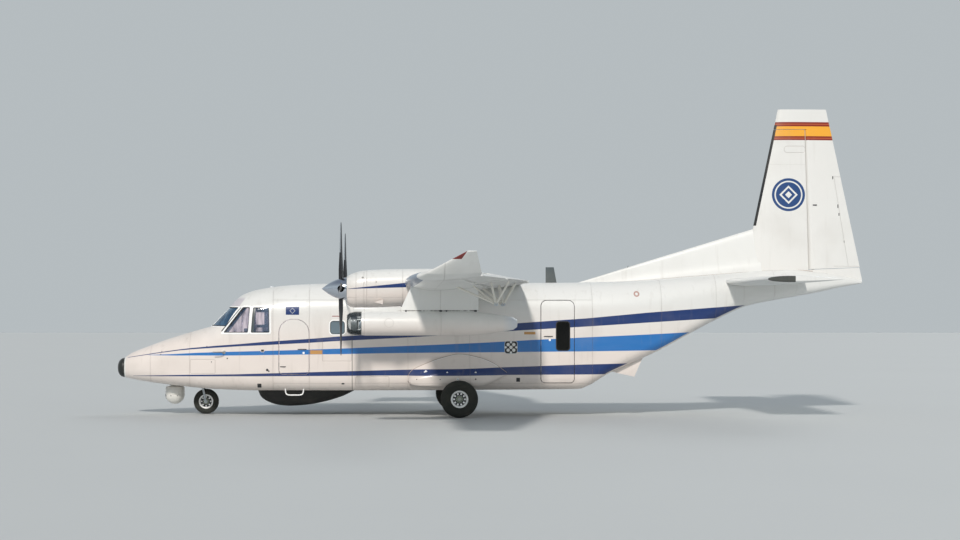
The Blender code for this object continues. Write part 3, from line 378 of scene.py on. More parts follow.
def airframe_paint(name, marks=True):
    finish = Finish(name)
    # Warmer towards the bottom: painted warm light bounced up from the ground.
    painted_ground_light = finish.z.below(1.95, 0.9)
    colour = finish.mix(painted_ground_light, WHITE, WARM_WHITE)
    port = finish.y.below(0.0)
    side = abs(finish.facing[1]).above(0.5, 0.08)
    seams = finish.near(finish.x, HOOP_SEAMS, 0.007)
    seams = seams.most(finish.near(finish.z, LEVEL_SEAMS, 0.006) * finish.x.within(-4.66, 2.1) * side)
    rivets = finish.near(finish.x, [x + side_step for x in HOOP_SEAMS for side_step in (-0.026, 0.026)],
        0.007)
    rivets = rivets * finish.near((finish.z / RIVET_PITCH).maths("FRACT"), (0.5,), 0.16)
    seams = seams.most(rivets * 0.55)
    if marks:
        # A grey-lavender band over the windshield's top: painted shade on the forward-facing roof.
        painted_brow_shade = finish.z.above(2.332, 0.012) * (finish.x - (finish.z - 2.32) * 0.686).below(-5.376, 0.014)
        painted_brow_shade = painted_brow_shade * finish.z.below(2.505, 0.06)
        colour = finish.mix(painted_brow_shade * 0.75, colour, rgb(190, 184, 194))
        colour = striped(finish, colour)
        for box in ((-3.865, 1.318, -3.605, 1.402), (0.65, 1.735, 0.888, 1.79)):
            colour = finish.mix(finish.rim_distance(box, 0.004).below(0.0) * port * side, colour, ORANGE)
        red_mark = finish.rim_distance((-3.402, 2.112, -3.215, 2.128), 0.003).below(0.0)
        colour = finish.mix(red_mark * port * side, colour, BAND_RED)
        joint = finish.near(finish.x, (CABIN_JOINT,), 0.014) * finish.z.below(1.72, 0.05) * port
        colour = finish.mix(joint * 0.85, colour, rgb(52, 52, 48))
        sign = finish.rim_distance((-4.388, 2.138, -4.086, 2.33), 0.004)
        colour = finish.mix(sign.below(0.0) * port * side, colour, WHITE)
        colour = finish.mix(sign.below(-0.01) * port * side, colour, NAVY)
        kite = abs(finish.x + 4.237) + abs(finish.z - 2.234)
        colour = finish.mix(kite.within(0.048, 0.062) * port * side * 0.6, colour, WHITE)
        badge = finish.disc((3.036, 2.59), 0.062) - finish.disc((3.036, 2.59), 0.03)
        colour = finish.mix(badge * port * side * 0.75, colour, rgb(168, 110, 92))
        dot_mark = finish.rim_distance((0.245, 1.338, 0.5, 1.588), 0.045)
        colour = finish.mix(dot_mark.below(0.012) * port * side * 0.8, colour, rgb(196, 200, 200))
        colour = finish.mix(dot_mark.below(0.0) * port * side, colour, rgb(12, 12, 14))
        dots = [finish.disc((0.372 + dx, 1.463 + dz), size) for dx, dz,
            size in ((0.0, 0.0, 0.036), (-0.059, 0.059, 0.035), (0.059, 0.059, 0.035),
            (-0.059, -0.059, 0.035), (0.059, -0.059, 0.035), (-0.112, 0.0, 0.024), (0.112, 0.0, 0.024),
            (0.0, 0.108, 0.024), (0.0, -0.108, 0.024))]
        colour = finish.mix(together(dots) * port * side, colour, WHITE)
        hatches = [finish.outline(box, radius, 0.01) for box, radius in (((-3.6, 1.17, -2.996, 1.64), 0.02),
            ((-6.42, 0.9, -5.88, 1.2), 0.03), ((-2.9, 0.62, -2.2, 0.84), 0.02))]
        seams = seams.most(together(hatches) * side)
        colour = finish.mix(finish.x.below(-7.88), colour, WHITE)
        colour = finish.mix(finish.x.below(-7.908), colour, rgb(34, 37, 35))
    return aged(finish, colour, seams)


def plain_paint(name, colour=WHITE, seams=None, shade=0.2):
    finish = Finish(name)
    return aged(finish, colour, seams(finish) if seams else None, shade)


def worn_metal(name, colour, roughness=0.3, metallic=0.9, scale=30.0):
    finish = Finish(name)
    grain = finish.noise(scale, 4.0, (1.0, 1.0, 0.3))
    stain = finish.noise(3.0, 4.0)
    tone = finish.mix((stain - 0.45).maths("MULTIPLY", 2.0, clamp=True) * 0.35, colour,
        tuple(0.55 * c for c in colour[:3]) + (1.0,))
    return finish.done(tone, roughness + grain * 0.18, metallic, height=grain, depth=0.0006)


def dull_rubber(name, colour, roughness=0.7, scale=60.0):
    finish = Finish(name)
    grain = finish.noise(scale, 5.0)
    dust = finish.noise(4.0, 4.0)
    tone = finish.mix((dust - 0.45).maths("MULTIPLY", 2.2, clamp=True) * 0.35, colour, rgb(92, 86, 76))
    return finish.done(tone, roughness + grain * 0.15, height=grain, depth=0.0008)


def painted_pane_reflection(finish):
    """Where the cockpit side panes carry a light painted reflection: most of the front one, a square and a
    strip behind.
    """
    from_slanted_post = finish.x + 5.707 - (finish.z - 1.772) * 0.765
    front = from_slanted_post.above(0.105, 0.03) * finish.x.below(-5.125, 0.01)
    front_corner = finish.x.above(-5.262, 0.01) * finish.z.below(1.862, 0.012)
    square = finish.x.within(-5.013, -4.83, 0.012) * finish.z.within(1.94, 2.205, 0.02)
    strip = finish.x.within(-5.013, -4.87, 0.02) * finish.z.within(1.795, 1.88, 0.015)
    return (front * (1 - front_corner)).most(square).most(strip * 0.8)


def glazing_finish(name, tint, gloss=0.1, body=rgb(10, 14, 18), reflection_and_haze_share=0.04, painted_reflection_places=None):
    """Clear glass: a tinted see-through layer under its own reflections, and a streaky, hazy opaque layer
    whose colour is painted reflection and smear.
    """
    finish = Finish(name)
    smear = finish.noise(5.0, 4.0, (2.2, 1.0, 0.5))
    painted_reflection_and_haze = finish.mix(smear * 0.4, body, tuple(0.7 * c for c in body[:3]) + (1.0,))
    if painted_reflection_places:
        painted_reflection = painted_reflection_places(finish)
        painted_reflection_and_haze = finish.mix(painted_reflection, painted_reflection_and_haze, rgb(228, 216, 224))
        reflection_and_haze_share = painted_reflection * 0.4 + reflection_and_haze_share
    finish.done(painted_reflection_and_haze, 0.03 + smear * 0.05, Specular_IOR_Level=0.9)
    clear = finish.node("BsdfTransparent", None, tint)
    edge = finish.node("LayerWeight", None, 0.35).out("Fresnel")
    streak = (smear - 0.36).maths("MULTIPLY", 3.4, clamp=True)
    factor = (edge * 0.7 + gloss).maths("ADD", streak * reflection_and_haze_share, clamp=True)
    mixed = finish.node("MixShader", None, factor, clear, Wire(finish, finish.shader.outputs[0]))
    finish.tree.links.new(mixed.socket, finish.tree.nodes["Material Output"].inputs["Surface"])
    return finish.material


def lit_lens(name, colour, glow):
    finish = Finish(name)
    ribs = finish.node("TexWave", None, Vector=finish.place, Scale=30.0)
    tone = finish.mix(ribs * 0.3, colour, tuple(0.6 * c for c in colour[:3]) + (1.0,))
    return finish.done(tone, 0.12, height=ribs, depth=0.002, Coat_Weight=0.8, Emission_Color=colour,
        Emission_Strength=glow)


AIRFRAME = airframe_paint("airframe_paint")
PLAIN_AIRFRAME = airframe_paint("plain_airframe_paint", False)
LINING = dull_rubber("cabin_lining", rgb(226, 221, 224), 0.75, 40.0)
FLOOR_MAT = dull_rubber("cabin_floor_covering", rgb(112, 114, 112), 0.8, 90.0)
COCKPIT_GREY = dull_rubber("cockpit_grey", rgb(146, 150, 154), 0.6, 50.0)
PANEL_BLACK = dull_rubber("panel_black", rgb(30, 31, 33), 0.55, 70.0)
RUBBER_SEAL = dull_rubber("rubber_seal", rgb(34, 34, 34), 0.6)
DOOR_SEAL = dull_rubber("door_seal", rgb(140, 135, 129), 0.6)
NOSE_BLACK = dull_rubber("nose_cap_black", rgb(34, 37, 35), 0.34, 25.0)
RADOME_BLACK = dull_rubber("radome_black", rgb(30, 31, 31), 0.55, 25.0)
BOOT_BLACK = dull_rubber("boot_black", rgb(32, 33, 34), 0.5, 30.0)
TYRE_RUBBER = dull_rubber("tyre_rubber", rgb(44, 46, 42), 0.82, 45.0)
POLISHED = worn_metal("polished_spinner", rgb(206, 212, 222), 0.02, 1.0, 8.0)
GEAR_METAL = worn_metal("gear_metal", rgb(186, 194, 200), 0.38, 0.35)
STEEL = worn_metal("bare_steel", rgb(172, 172, 170), 0.25, 1.0)
DARK_METAL = worn_metal("dark_metal", rgb(66, 68, 70), 0.45, 0.7)
BLADE_GREY = worn_metal("blade_black", rgb(42, 43, 46), 0.42, 0.3)
EDGE_METAL = worn_metal("leading_edge_metal", rgb(186, 192, 198), 0.34, 0.75, 12.0)
HUB_GREEN = worn_metal("hub_green", rgb(140, 148, 132), 0.45, 0.3)
RIM_WHITE = plain_paint("rim_white", rgb(250, 250, 249), shade=0.15)
STRUT_PAINT = plain_paint("strut_paint", rgb(226, 223, 214))
# Darker paint for lines laid in creases: painted shade.
CREASE_SHADE_PAINT = plain_paint("crease_shade_paint", rgb(176, 158, 146))
GREY_PAINT = plain_paint("grey_paint", rgb(74, 84, 88))
# The opaque body colours of the window, windshield and cabin glass are painted sky reflection.
CLEAR_GLASS = glazing_finish("window_glass", (0.66, 0.71, 0.78, 1.0), 0.1, rgb(112, 128, 148), 0.18,
    painted_pane_reflection)
WINDSHIELD_GLASS = glazing_finish("windshield_glass", (0.44, 0.6, 0.74, 1.0), 0.4, rgb(64, 100, 132), 0.45)
SMOKED_GLASS = glazing_finish("door_glass", (0.14, 0.15, 0.12, 1.0), 0.22, rgb(16, 18, 12))
DOME_GLASS = glazing_finish("dome_glass", (0.94, 0.96, 0.97, 1.0), 0.03, rgb(60, 66, 70))
CABIN_GLASS = glazing_finish("cabin_glass", (0.6, 0.68, 0.74, 1.0), 0.62, rgb(128, 147, 158))
CLEAR_LENS = lit_lens("clear_lens", rgb(225, 228, 230), 0.05)
LAMP_LENS = lit_lens("lamp_lens", rgb(255, 246, 246), 42.0)
SCREEN = lit_lens("screen_blue", rgb(40, 70, 90), 0.4)
finish = Finish("studio_floor")
floor_tone = finish.mix(finish.noise(0.15, 3.0) * 0.25, rgb(196, 199, 199), rgb(182, 185, 186))
STUDIO = finish.done(floor_tone, 0.7)


# Shapes

def angles(count, first=0, last=None, whole=tau):
    """Even steps of a turn, from one step number up to another."""
    return [whole * k / count for k in range(first, count if last is None else last)]


def link(obj):
    CUTTERS.objects.link(obj)
    obj.hide_render = True
    return obj


def from_bmesh(name, bm, finish=None):
    bmesh.ops.recalc_face_normals(bm, faces=bm.faces)
    mesh = bpy.data.meshes.new(name)
    bm.to_mesh(mesh)
    bm.free()
    if finish:
        mesh.materials.append(finish)
    return link(bpy.data.objects.new(name, mesh))


def loft(name, rings, finish=None, second_finish=None, second=None):
    """A closed solid through rings of equal point counts, with a flat cap at each end.

    second says for a ring and a point number whether the face there has the second finish.
    """
    bm = bmesh.new()
    loops = [[bm.verts.new(point) for point in ring] for ring in rings]
    count = len(rings[0])
    for row, (near_loop, far_loop) in enumerate(zip(loops, loops[1:])):
        for i in range(count):
            j = (i + 1) % count
            face = bm.faces.new((near_loop[i], near_loop[j], far_loop[j], far_loop[i]))
            face.material_index = 1 if second and second(row, i) else 0
    bm.faces.new(loops[0])
    bm.faces.new(loops[-1])
    made = from_bmesh(name, bm, finish)
    if second_finish:
        made.data.materials.append(second_finish)
    return made


def box(name, low, high, finish=None):
    bm = bmesh.new()
    bmesh.ops.create_cube(bm, size=1.0)
    bmesh.ops.scale(bm, vec=Vector(high) - Vector(low), verts=bm.verts)
    bmesh.ops.translate(bm, vec=(Vector(high) + Vector(low)) / 2, verts=bm.verts)
    return from_bmesh(name, bm, finish)


def rod(name, start, end, radius, end_radius=None, sides=20, finish=None):
    start, end = Vector(start), Vector(end)
    along = end - start
    bm = bmesh.new()
    turn = Z_AXIS.rotation_difference(along).to_matrix().to_4x4()
    bmesh.ops.create_cone(bm, cap_ends=True, segments=sides, radius1=radius,
        radius2=radius if end_radius is None else end_radius, depth=along.length,
        matrix=Matrix.Translation((start + end) / 2) @ turn)
    return from_bmesh(name, bm, finish)


def ball(name, centre, radius, rows=24, finish=None):
    bm = bmesh.new()
    bmesh.ops.create_uvsphere(bm, u_segments=2 * rows, v_segments=rows, radius=radius,
        matrix=Matrix.Translation(centre))
    return from_bmesh(name, bm, finish)


def prism(name, outline, low, high, frame=None, finish=None):
    """A flat outline in a frame's XY plane, made solid from low to high along its Z."""
    frame = frame or Matrix.Identity(4)
    bm = bmesh.new()
    lower = [bm.verts.new(frame @ Vector((u, v, low))) for u, v in outline]
    upper = [bm.verts.new(frame @ Vector((u, v, high))) for u, v in outline]
    count = len(outline)
    for i in range(count):
        j = (i + 1) % count
        bm.faces.new((lower[i], lower[j], upper[j], upper[i]))
    bm.faces.new(lower)
    bm.faces.new(upper)
    return from_bmesh(name, bm, finish)


def tube(name, route, radius, finish=None, sides=10, closed=False):
    """A round bar along a route of points."""
    route = [Vector(point) for point in route]
    count = len(route)
    bm = bmesh.new()
    rings = []
    side = None
    for i, point in enumerate(route):
        before = route[i - 1] if i or closed else point
        after = route[(i + 1) % count] if i < count - 1 or closed else point
        along = (after - before).normalized()
        if side is None:
            side = along.orthogonal().normalized()
        side = (side - along * side.dot(along)).normalized()
        other = along.cross(side)
        rings.append([bm.verts.new(point + radius * (cos(tau * k / sides) * side + sin(tau * k / sides)
            * other)) for k in range(sides)])
    pairs = list(zip(rings, rings[1:])) + ([(rings[-1], rings[0])] if closed else [])
    for first, second in pairs:
        for i in range(sides):
            j = (i + 1) % sides
            bm.faces.new((first[i], first[j], second[j], second[i]))
    if not closed:
        bm.faces.new(rings[0])
        bm.faces.new(rings[-1])
    return from_bmesh(name, bm, finish)


def bent(points, steps=5):
    """A smooth route through points."""
    points = [Vector(point) for point in points]
    padded = [2 * points[0] - points[1], *points, 2 * points[-1] - points[-2]]
    route = []
    for a, b, c, d in zip(padded, padded[1:], padded[2:], padded[3:]):
        for step in range(steps):
            t = step / steps
            route.append(0.5 * (2 * b + (c - a) * t + (2 * a - 5 * b + 4 * c - d) * t ** 2
                + (3 * b - a - 3 * c + d) * t ** 3))
    return route + [points[-1]]


def turned(name, profile, centre, axis=X_AXIS, steps=56, finish=None):
    """A profile of (along, radius) points turned about an axis through the centre."""
    bm = bmesh.new()
    verts = [bm.verts.new((radius, 0.0, along)) for along, radius in profile]
    for first, second in zip(verts, verts[1:]):
        bm.edges.new((first, second))
    turn = Matrix.Translation(centre) @ Z_AXIS.rotation_difference(axis).to_matrix().to_4x4()
    bmesh.ops.spin(bm, geom=bm.verts[:] + bm.edges[:], cent=(0, 0, 0), axis=(0, 0, 1), angle=tau,
        steps=steps, use_merge=False)
    bmesh.ops.remove_doubles(bm, verts=bm.verts, dist=1e-5)
    bmesh.ops.transform(bm, matrix=turn, verts=bm.verts)
    return from_bmesh(name, bm, finish)


def combine(target, tool, operation="DIFFERENCE"):
    modifier = target.modifiers.new(operation.lower(), "BOOLEAN")
    modifier.operation = operation
    modifier.object = tool
    modifier.material_mode = "TRANSFER" if tool.data.materials else "INDEX"
    return target


def settle(obj):
    bpy.context.view_layer.update()
    graph = bpy.context.evaluated_depsgraph_get()
    mesh = bpy.data.meshes.new_from_object(obj.evaluated_get(graph))
    obj.modifiers.clear()
    obj.data = mesh
    return obj


def joined(name, shapes):
    """Separate closed shapes as one piece, each with its own finish."""
    bm = bmesh.new()
    finishes = []
    for shape in shapes:
        if shape.modifiers:
            settle(shape)
        slots = []
        for finish in shape.data.materials:
            if finish not in finishes:
                finishes.append(finish)
            slots.append(finishes.index(finish))
        first = len(bm.faces)
        bm.from_mesh(shape.data)
        bm.faces.ensure_lookup_table()
        for face in bm.faces[first:]:
            face.material_index = slots[face.material_index] if slots else 0
    mesh = bpy.data.meshes.new(name)
    bm.to_mesh(mesh)
    bm.free()
    for finish in finishes:
        mesh.materials.append(finish)
    return link(bpy.data.objects.new(name, mesh))


def show(obj, name, body, *nodes, sharp=32, bevel=0.0):
    """Finish a piece: apply its cuts, shade it, let it ride and stand for its CAD nodes."""
    if bevel:
        edges = obj.modifiers.new("edges", "BEVEL")
        edges.width = bevel
        edges.segments = 2
        edges.limit_method = "ANGLE"
        edges.angle_limit = radians(40)
    if obj.modifiers:
        settle(obj)
    obj.name = name
    obj.data.name = name
    CUTTERS.objects.unlink(obj)
    PIECES.objects.link(obj)
    obj.hide_render = False
    mesh = obj.data
    mesh.polygons.foreach_set("use_smooth", [True] * len(mesh.polygons))
    mesh.set_sharp_from_angle(angle=radians(sharp))
    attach(obj, body)
    if nodes:
        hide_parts(*nodes)
    return obj


def fix(obj, name, *nodes, **looks):
    """Show a piece that is fixed to the airframe."""
    return show(obj, name, "airframe", *nodes, **looks)


def smooth_table(rows, creases=()):
    """A function that gives the row at a place, on curves through the table's rows."""
    places = [row[0] for row in rows]
    columns = []
    for values in list(zip(*rows))[1:]:
        steps = [(b - a) / (q - p) for a, b, p, q in zip(values, values[1:], places, places[1:])]
        enter, leave = [steps[0]], [steps[0]]
        for place, before, after in zip(places[1:], steps, steps[1:]):
            mean = 2 * before * after / (before + after) if before * after > 0 else 0.0
            enter.append(before if place in creases else mean)
            leave.append(after if place in creases else mean)
        columns.append((values, enter + [steps[-1]], leave + [steps[-1]]))

    def row_at(x):
        x = min(max(x, places[0]), places[-1])
        i = min(max(bisect_right(places, x) - 1, 0), len(places) - 2)
        width = places[i + 1] - places[i]
        t = (x - places[i]) / width
        row = [x]
        for values, enter, leave in columns:
            row.append(values[i] * (2 * t ** 3 - 3 * t ** 2 + 1) + values[i + 1] * (3 * t ** 2 - 2 * t ** 3)
                + width * (leave[i] * (t ** 3 - 2 * t ** 2 + t) + enter[i + 1] * (t ** 3 - t ** 2)))
        return row
    return row_at


def straight_table(rows):
    def row_at(x):
        for first, second in zip(rows, rows[1:]):
            if x <= second[0]:
                share = (x - first[0]) / (second[0] - first[0])
                return [a + share * (b - a) for a, b in zip(first, second)]
        return list(rows[-1])
    return row_at


def spread(low, high, steps, knots=()):
    """Places from low to high at even steps, with the knots between them."""
    places = {round(low + (high - low) * step / steps, 5) for step in range(steps + 1)}
    return sorted(places | {knot for knot in knots if low < knot < high})


def mirrored(outline, side):
    return [(side * u, v) for u, v in outline]


def eased(outline, radius, steps=4):
    """An outline with its corners rounded."""
    points = []
    count = len(outline)
    for i in range(count):
        corner = Vector(outline[i])
        before = (Vector(outline[i - 1]) - corner)
        after = (Vector(outline[(i + 1) % count]) - corner)
        reach = min(radius, 0.45 * before.length, 0.45 * after.length)
        start = corner + before.normalized() * reach
        end = corner + after.normalized() * reach
        for step in range(steps + 1):
            t = step / steps
            points.append(tuple((1 - t) ** 2 * start + 2 * t * (1 - t) * corner + t ** 2 * end))
    return points


def grown(outline, amount):
    """A convex outline with each edge moved out by an amount."""
    count = len(outline)
    area = sum(outline[i][0] * outline[(i + 1) % count][1] - outline[(i + 1) % count][0] * outline[i][1]
        for i in range(count))
    turn = -1 if area > 0 else 1
    lines = []
    for i in range(count):
        start, end = Vector(outline[i]), Vector(outline[(i + 1) % count])
        along = (end - start).normalized()
        lines.append((start + Vector((-along.y, along.x)) * turn * amount, along))
    points = []
    for i in range(count):
        (first, a), (second, b) = lines[i - 1], lines[i]
        across = a.x * b.y - a.y * b.x
        step = ((second - first).x * b.y - (second - first).y * b.x) / across
        points.append(tuple(first + a * step))
    return points


# Fuselage

FUSELAGE = (
    # x, bottom, top, half_width, upper_radius, lower_radius
    (-7.93, 0.8, 1.213, 0.21, 0.195, 0.17),
    (-7.77, 0.765, 1.32, 0.33, 0.27, 0.22),
    (-7.42, 0.71, 1.46, 0.51, 0.38, 0.27),
    (-6.9, 0.65, 1.645, 0.7, 0.46, 0.29),
    (-6.38, 0.6, 1.8, 0.86, 0.52, 0.29),
    (-6.02, 0.575, 1.9, 0.95, 0.56, 0.28),
    (-5.69, 0.56, 2.232, 1.01, 0.56, 0.28),
    (-5.34, 0.55, 2.57, 1.07, 0.58, 0.28),
    (-4.99, 0.545, 2.69, 1.11, 0.6, 0.28),
    (-4.3, 0.545, 2.785, 1.13, 0.62, 0.28),
    (-3.6, 0.545, 2.815, 1.14, 0.62, 0.28),
    (1.8, 0.575, 2.84, 1.14, 0.62, 0.26),
    (2.5, 0.925, 2.855, 1.13, 0.6, 0.25),
    (3.52, 1.385, 2.91, 1.06, 0.56, 0.25),
    (4.2, 1.745, 2.965, 0.97, 0.5, 0.25),
    (4.88, 2.09, 3.02, 0.85, 0.43, 0.25),
    (5.46, 2.335, 3.065, 0.73, 0.34, 0.23),
    (5.95, 2.44, 3.1, 0.62, 0.31, 0.22),
    (6.5, 2.535, 3.12, 0.49, 0.28, 0.19),
    (7.07, 2.635, 3.07, 0.34, 0.2, 0.15),
    (7.57, 2.742, 3.0, 0.2, 0.12, 0.1),
    (8.06, 2.83, 2.895, 0.06, 0.03, 0.025),
)
WINDSCREEN_FOOT = -6.02
fuselage_row = smooth_table(FUSELAGE, (WINDSCREEN_FOOT,))
NOSE_TIP = -8.075
NOSE_CAP_END = FUSELAGE[0][0]
NOSE_END = -6.49
COCKPIT_END = -4.67
CABIN_END = 2.1
TAIL_END = FUSELAGE[-1][0]
WALL = 0.08
GAP = 0.0003
SEAT_GAP = 0.0007
CAVITY = (-6.3, 7.25)
FUSELAGE_KNOTS = [row[0] for row in FUSELAGE]


def fuselage_ring(x, grow=0.0, upper_steps=14, lower_steps=7):
    _, bottom, top, half_width, upper, lower = fuselage_row(x)
    bottom, top, half_width = bottom - grow, top + grow, half_width + grow
    upper, lower = max(upper + grow, 0.02), max(lower + grow, 0.02)
    ring = []
    for centre_y, centre_z, radius, first, steps in ((half_width - upper, top - upper, upper, 0,
            upper_steps), (upper - half_width, top - upper, upper, 90, upper_steps),
            (lower - half_width, bottom + lower, lower, 180, lower_steps),
            (half_width - lower, bottom + lower, lower, 270, lower_steps)):
        for step in range(steps + 1):
            angle = radians(first + 90 * step / steps)
            ring.append((x, centre_y + radius * cos(angle), centre_z + radius * sin(angle)))
    return ring


def fuselage_solid(name, low, high, grow=0.0, finish=None, pitch=0.14):
    places = spread(low, high, max(2, round((high - low) / pitch)), FUSELAGE_KNOTS)
    return loft(name, [fuselage_ring(x, grow) for x in places], finish)


def skin_y(x, z):
    """How far out the fuselage's side is at a place."""
    _, bottom, top, half_width, upper, lower = fuselage_row(x)
    for centre, radius, outside in ((top - upper, upper, z > top - upper),
            (bottom + lower, lower, z < bottom + lower)):
        if outside:
            return half_width - radius + sqrt(max(radius ** 2 - (z - centre) ** 2, 0.0))
    return half_width


def on_side(x, z, side=-1.0, out=0.0):
    return Vector((x, side * (skin_y(x, z) + out), z))


SIDE_FRAME = Matrix(((1, 0, 0, 0), (0, 0, -1, 0), (0, 1, 0, 0), (0, 0, 0, 1)))
FRONT_FRAME = Matrix(((0, 0, 1, 0), (1, 0, 0, 0), (0, 1, 0, 0), (0, 0, 0, 1)))


def side_plate(name, outline, y_low, y_high, finish=None):
    """An outline of (x, z) points made solid from y_low to y_high."""
    return prism(name, outline, -y_high, -y_low, SIDE_FRAME, finish)


def side_range(side, low=0.6, high=1.5):
    return (low, high) if side > 0 else (-high, -low)


def rounded(x_low, x_high, z_low, z_high, radius, grow=0.0, low_radius=None, steps=7):
    """A rectangle's outline with round corners, grown all round."""
    lower = radius if low_radius is None else low_radius
    points = []
    for x, z, to_x, to_z, size, first in ((x_high, z_high, -1, -1, radius, 0),
            (x_low, z_high, 1, -1, radius, 90), (x_low, z_low, 1, 1, lower, 180),
            (x_high, z_low, -1, 1, lower, 270)):
        for step in range(steps + 1):
            angle = radians(first + 90 * step / steps)
            points.append((x + to_x * size + (size + grow) * cos(angle), z + to_z * size + (size + grow)
                * sin(angle)))
    return points


def skin_patch(name, outline, side, low, high, finish):
    """The part of the fuselage's side inside an outline, between two depths from the skin."""
    xs = [x for x, _ in outline]
    patch = fuselage_solid(name, min(xs) - 0.05, max(xs) + 0.05, high, finish, 0.07)
    combine(patch, fuselage_solid(name + "_inner", min(xs) - 0.09, max(xs) + 0.09, low, finish, 0.07))
    return combine(patch, side_plate(name + "_keep", outline, *side_range(side), finish), "INTERSECT")


def skin_frame(name, outer, inner, side, low, high, finish):
    """A flat ring on the fuselage's side between two outlines."""
    return combine(skin_patch(name, outer, side, low, high, finish),
        side_plate(name + "_hole", inner, *side_range(side), finish))


WINDSHIELD = ((0.06, 1.93), (0.988, 1.905), (0.96, 2.31), (0.06, 2.325))
WINDSHIELD_COVER = ((-1.0, 1.885), (1.0, 1.885), (0.972, 2.335), (0.045, 2.35), (-0.045, 2.35),
    (-0.972, 2.335))
SIDE_WINDOWS = {"front_side_window": ((-5.707, 1.772), (-5.179, 1.772), (-5.135, 2.312), (-5.294, 2.312)),
    "rear_side_window": ((-5.116, 1.772), (-4.722, 1.772), (-4.73, 2.306), (-5.071, 2.306)),}
SIDE_COVER = ((-5.727, 1.752), (-4.702, 1.752), (-4.71, 2.328), (-5.3, 2.332))
WINDOW_DEPTH = 0.02
GLASS = 0.012
fuselage_outer = fuselage_solid("fuselage_outer", NOSE_CAP_END, TAIL_END, SEAT_GAP, AIRFRAME)
fuselage_cavity = fuselage_solid("fuselage_cavity", *CAVITY, -WALL, LINING)

# Nose

cap_rings = []
cap_middle = (FUSELAGE[0][1] + FUSELAGE[0][2]) / 2
for step in range(13):
    share = step / 12
    size = sqrt(max(1 - (1 - share) ** 2, 0.0)) * 0.96 + 0.04
    x = NOSE_TIP + share * (NOSE_CAP_END - GAP - NOSE_TIP)
    cap_rings.append([(x, size * y, cap_middle + size * (z - cap_middle)) for _, y,
        z in fuselage_ring(NOSE_CAP_END)])
fix(loft("cap", cap_rings, NOSE_BLACK), "nose_cap_skin", "nose_cap", sharp=50)
nose = fuselage_solid("nose", NOSE_CAP_END, NOSE_END, 0.0, AIRFRAME, 0.09)
TURRET = Vector((-6.833, 0.0, 0.422))
TURRET_NECK = 0.6305
mount = turned("turret_mount", ((0.0, 0.0), (0.0, 0.118), (0.008, 0.13), (0.1, 0.13), (0.1, 0.0)),
    Vector((TURRET.x, 0.0, TURRET_NECK + GAP)), Z_AXIS, finish=AIRFRAME)
combine(nose, mount, "UNION")
fix(nose, "nose_skin", "nose_section")

# Cockpit

cockpit = fuselage_solid("cockpit", NOSE_END + GAP, COCKPIT_END, 0.0, AIRFRAME, 0.09)
combine(cockpit, fuselage_cavity)
pocket_depth = fuselage_solid("pocket_depth", -6.3, -4.5, -WINDOW_DEPTH, None, 0.09)
pane_outer = fuselage_solid("pane_outer", -6.3, -4.5, -WINDOW_DEPTH - GAP, None, 0.09)
pane_inner = fuselage_solid("pane_inner", -6.35, -4.45, -WINDOW_DEPTH - GLASS, None, 0.09)


def glazing(name, holes, pocket, glass, node):
    """Cut window holes and the pocket behind them, and set the glass in the pocket."""
    for hole in holes:
        combine(cockpit, hole)
    combine(cockpit, settle(combine(pocket, pocket_depth, "INTERSECT")))
    combine(combine(glass, pane_outer, "INTERSECT"), pane_inner)
    fix(glass, name, node)


front_holes = []
for tag, side in SIDES:
    hole = eased(mirrored(WINDSHIELD, side), 0.022)
    front_holes.append(prism("windshield_hole", hole, -6.3, -5.1, FRONT_FRAME, RUBBER_SEAL))
glazing("windshield_glass", front_holes, prism("windshield_pocket", WINDSHIELD_COVER, -6.3, -5.1,
    FRONT_FRAME, LINING), prism("windshield_pane", grown(WINDSHIELD_COVER, -GAP), -6.29, -5.11, FRONT_FRAME,
    WINDSHIELD_GLASS), "windshield")
for tag, side in SIDES:
    holes = [side_plate(window, eased(corners, 0.03), *side_range(side), RUBBER_SEAL) for window,
        corners in SIDE_WINDOWS.items()]
    glazing("side_glass_" + tag, holes, side_plate("side_pocket", SIDE_COVER, *side_range(side), LINING),
        side_plate("side_pane", grown(SIDE_COVER, -GAP), *side_range(side), CLEAR_GLASS),
        "side_window_" + tag)

PROBE_X = -5.7
PROBE_Z = 1.36
for tag, side in SIDES:
    root = Vector((PROBE_X, side * 0.9, PROBE_Z))
    bend = Vector((PROBE_X - 0.02, side * 1.13, PROBE_Z))
    route = bent([root, root.lerp(bend, 0.7), bend - X_AXIS * 0.03, bend - X_AXIS * 0.2])
    probe = tube("probe", route, 0.011, STEEL)
    fix(probe, "pitot_probe_" + tag)
    foot = on_side(PROBE_X + 0.01, PROBE_Z, side)
    plate = rod("probe_plate", foot - Y_AXIS * side * 0.02, foot + Y_AXIS * side * 0.006, 0.045, 0.04, 24,
        STEEL)
    fix(plate, "probe_foot_" + tag, bevel=0.002)
combine(cockpit, rod("nose_wheel_well", (-6.235, 0.0, 0.45), (-6.235, 0.0, 0.7), 0.185, sides=40,
    finish=COCKPIT_GREY))
fix(cockpit, "cockpit_skin", "cockpit_shell")

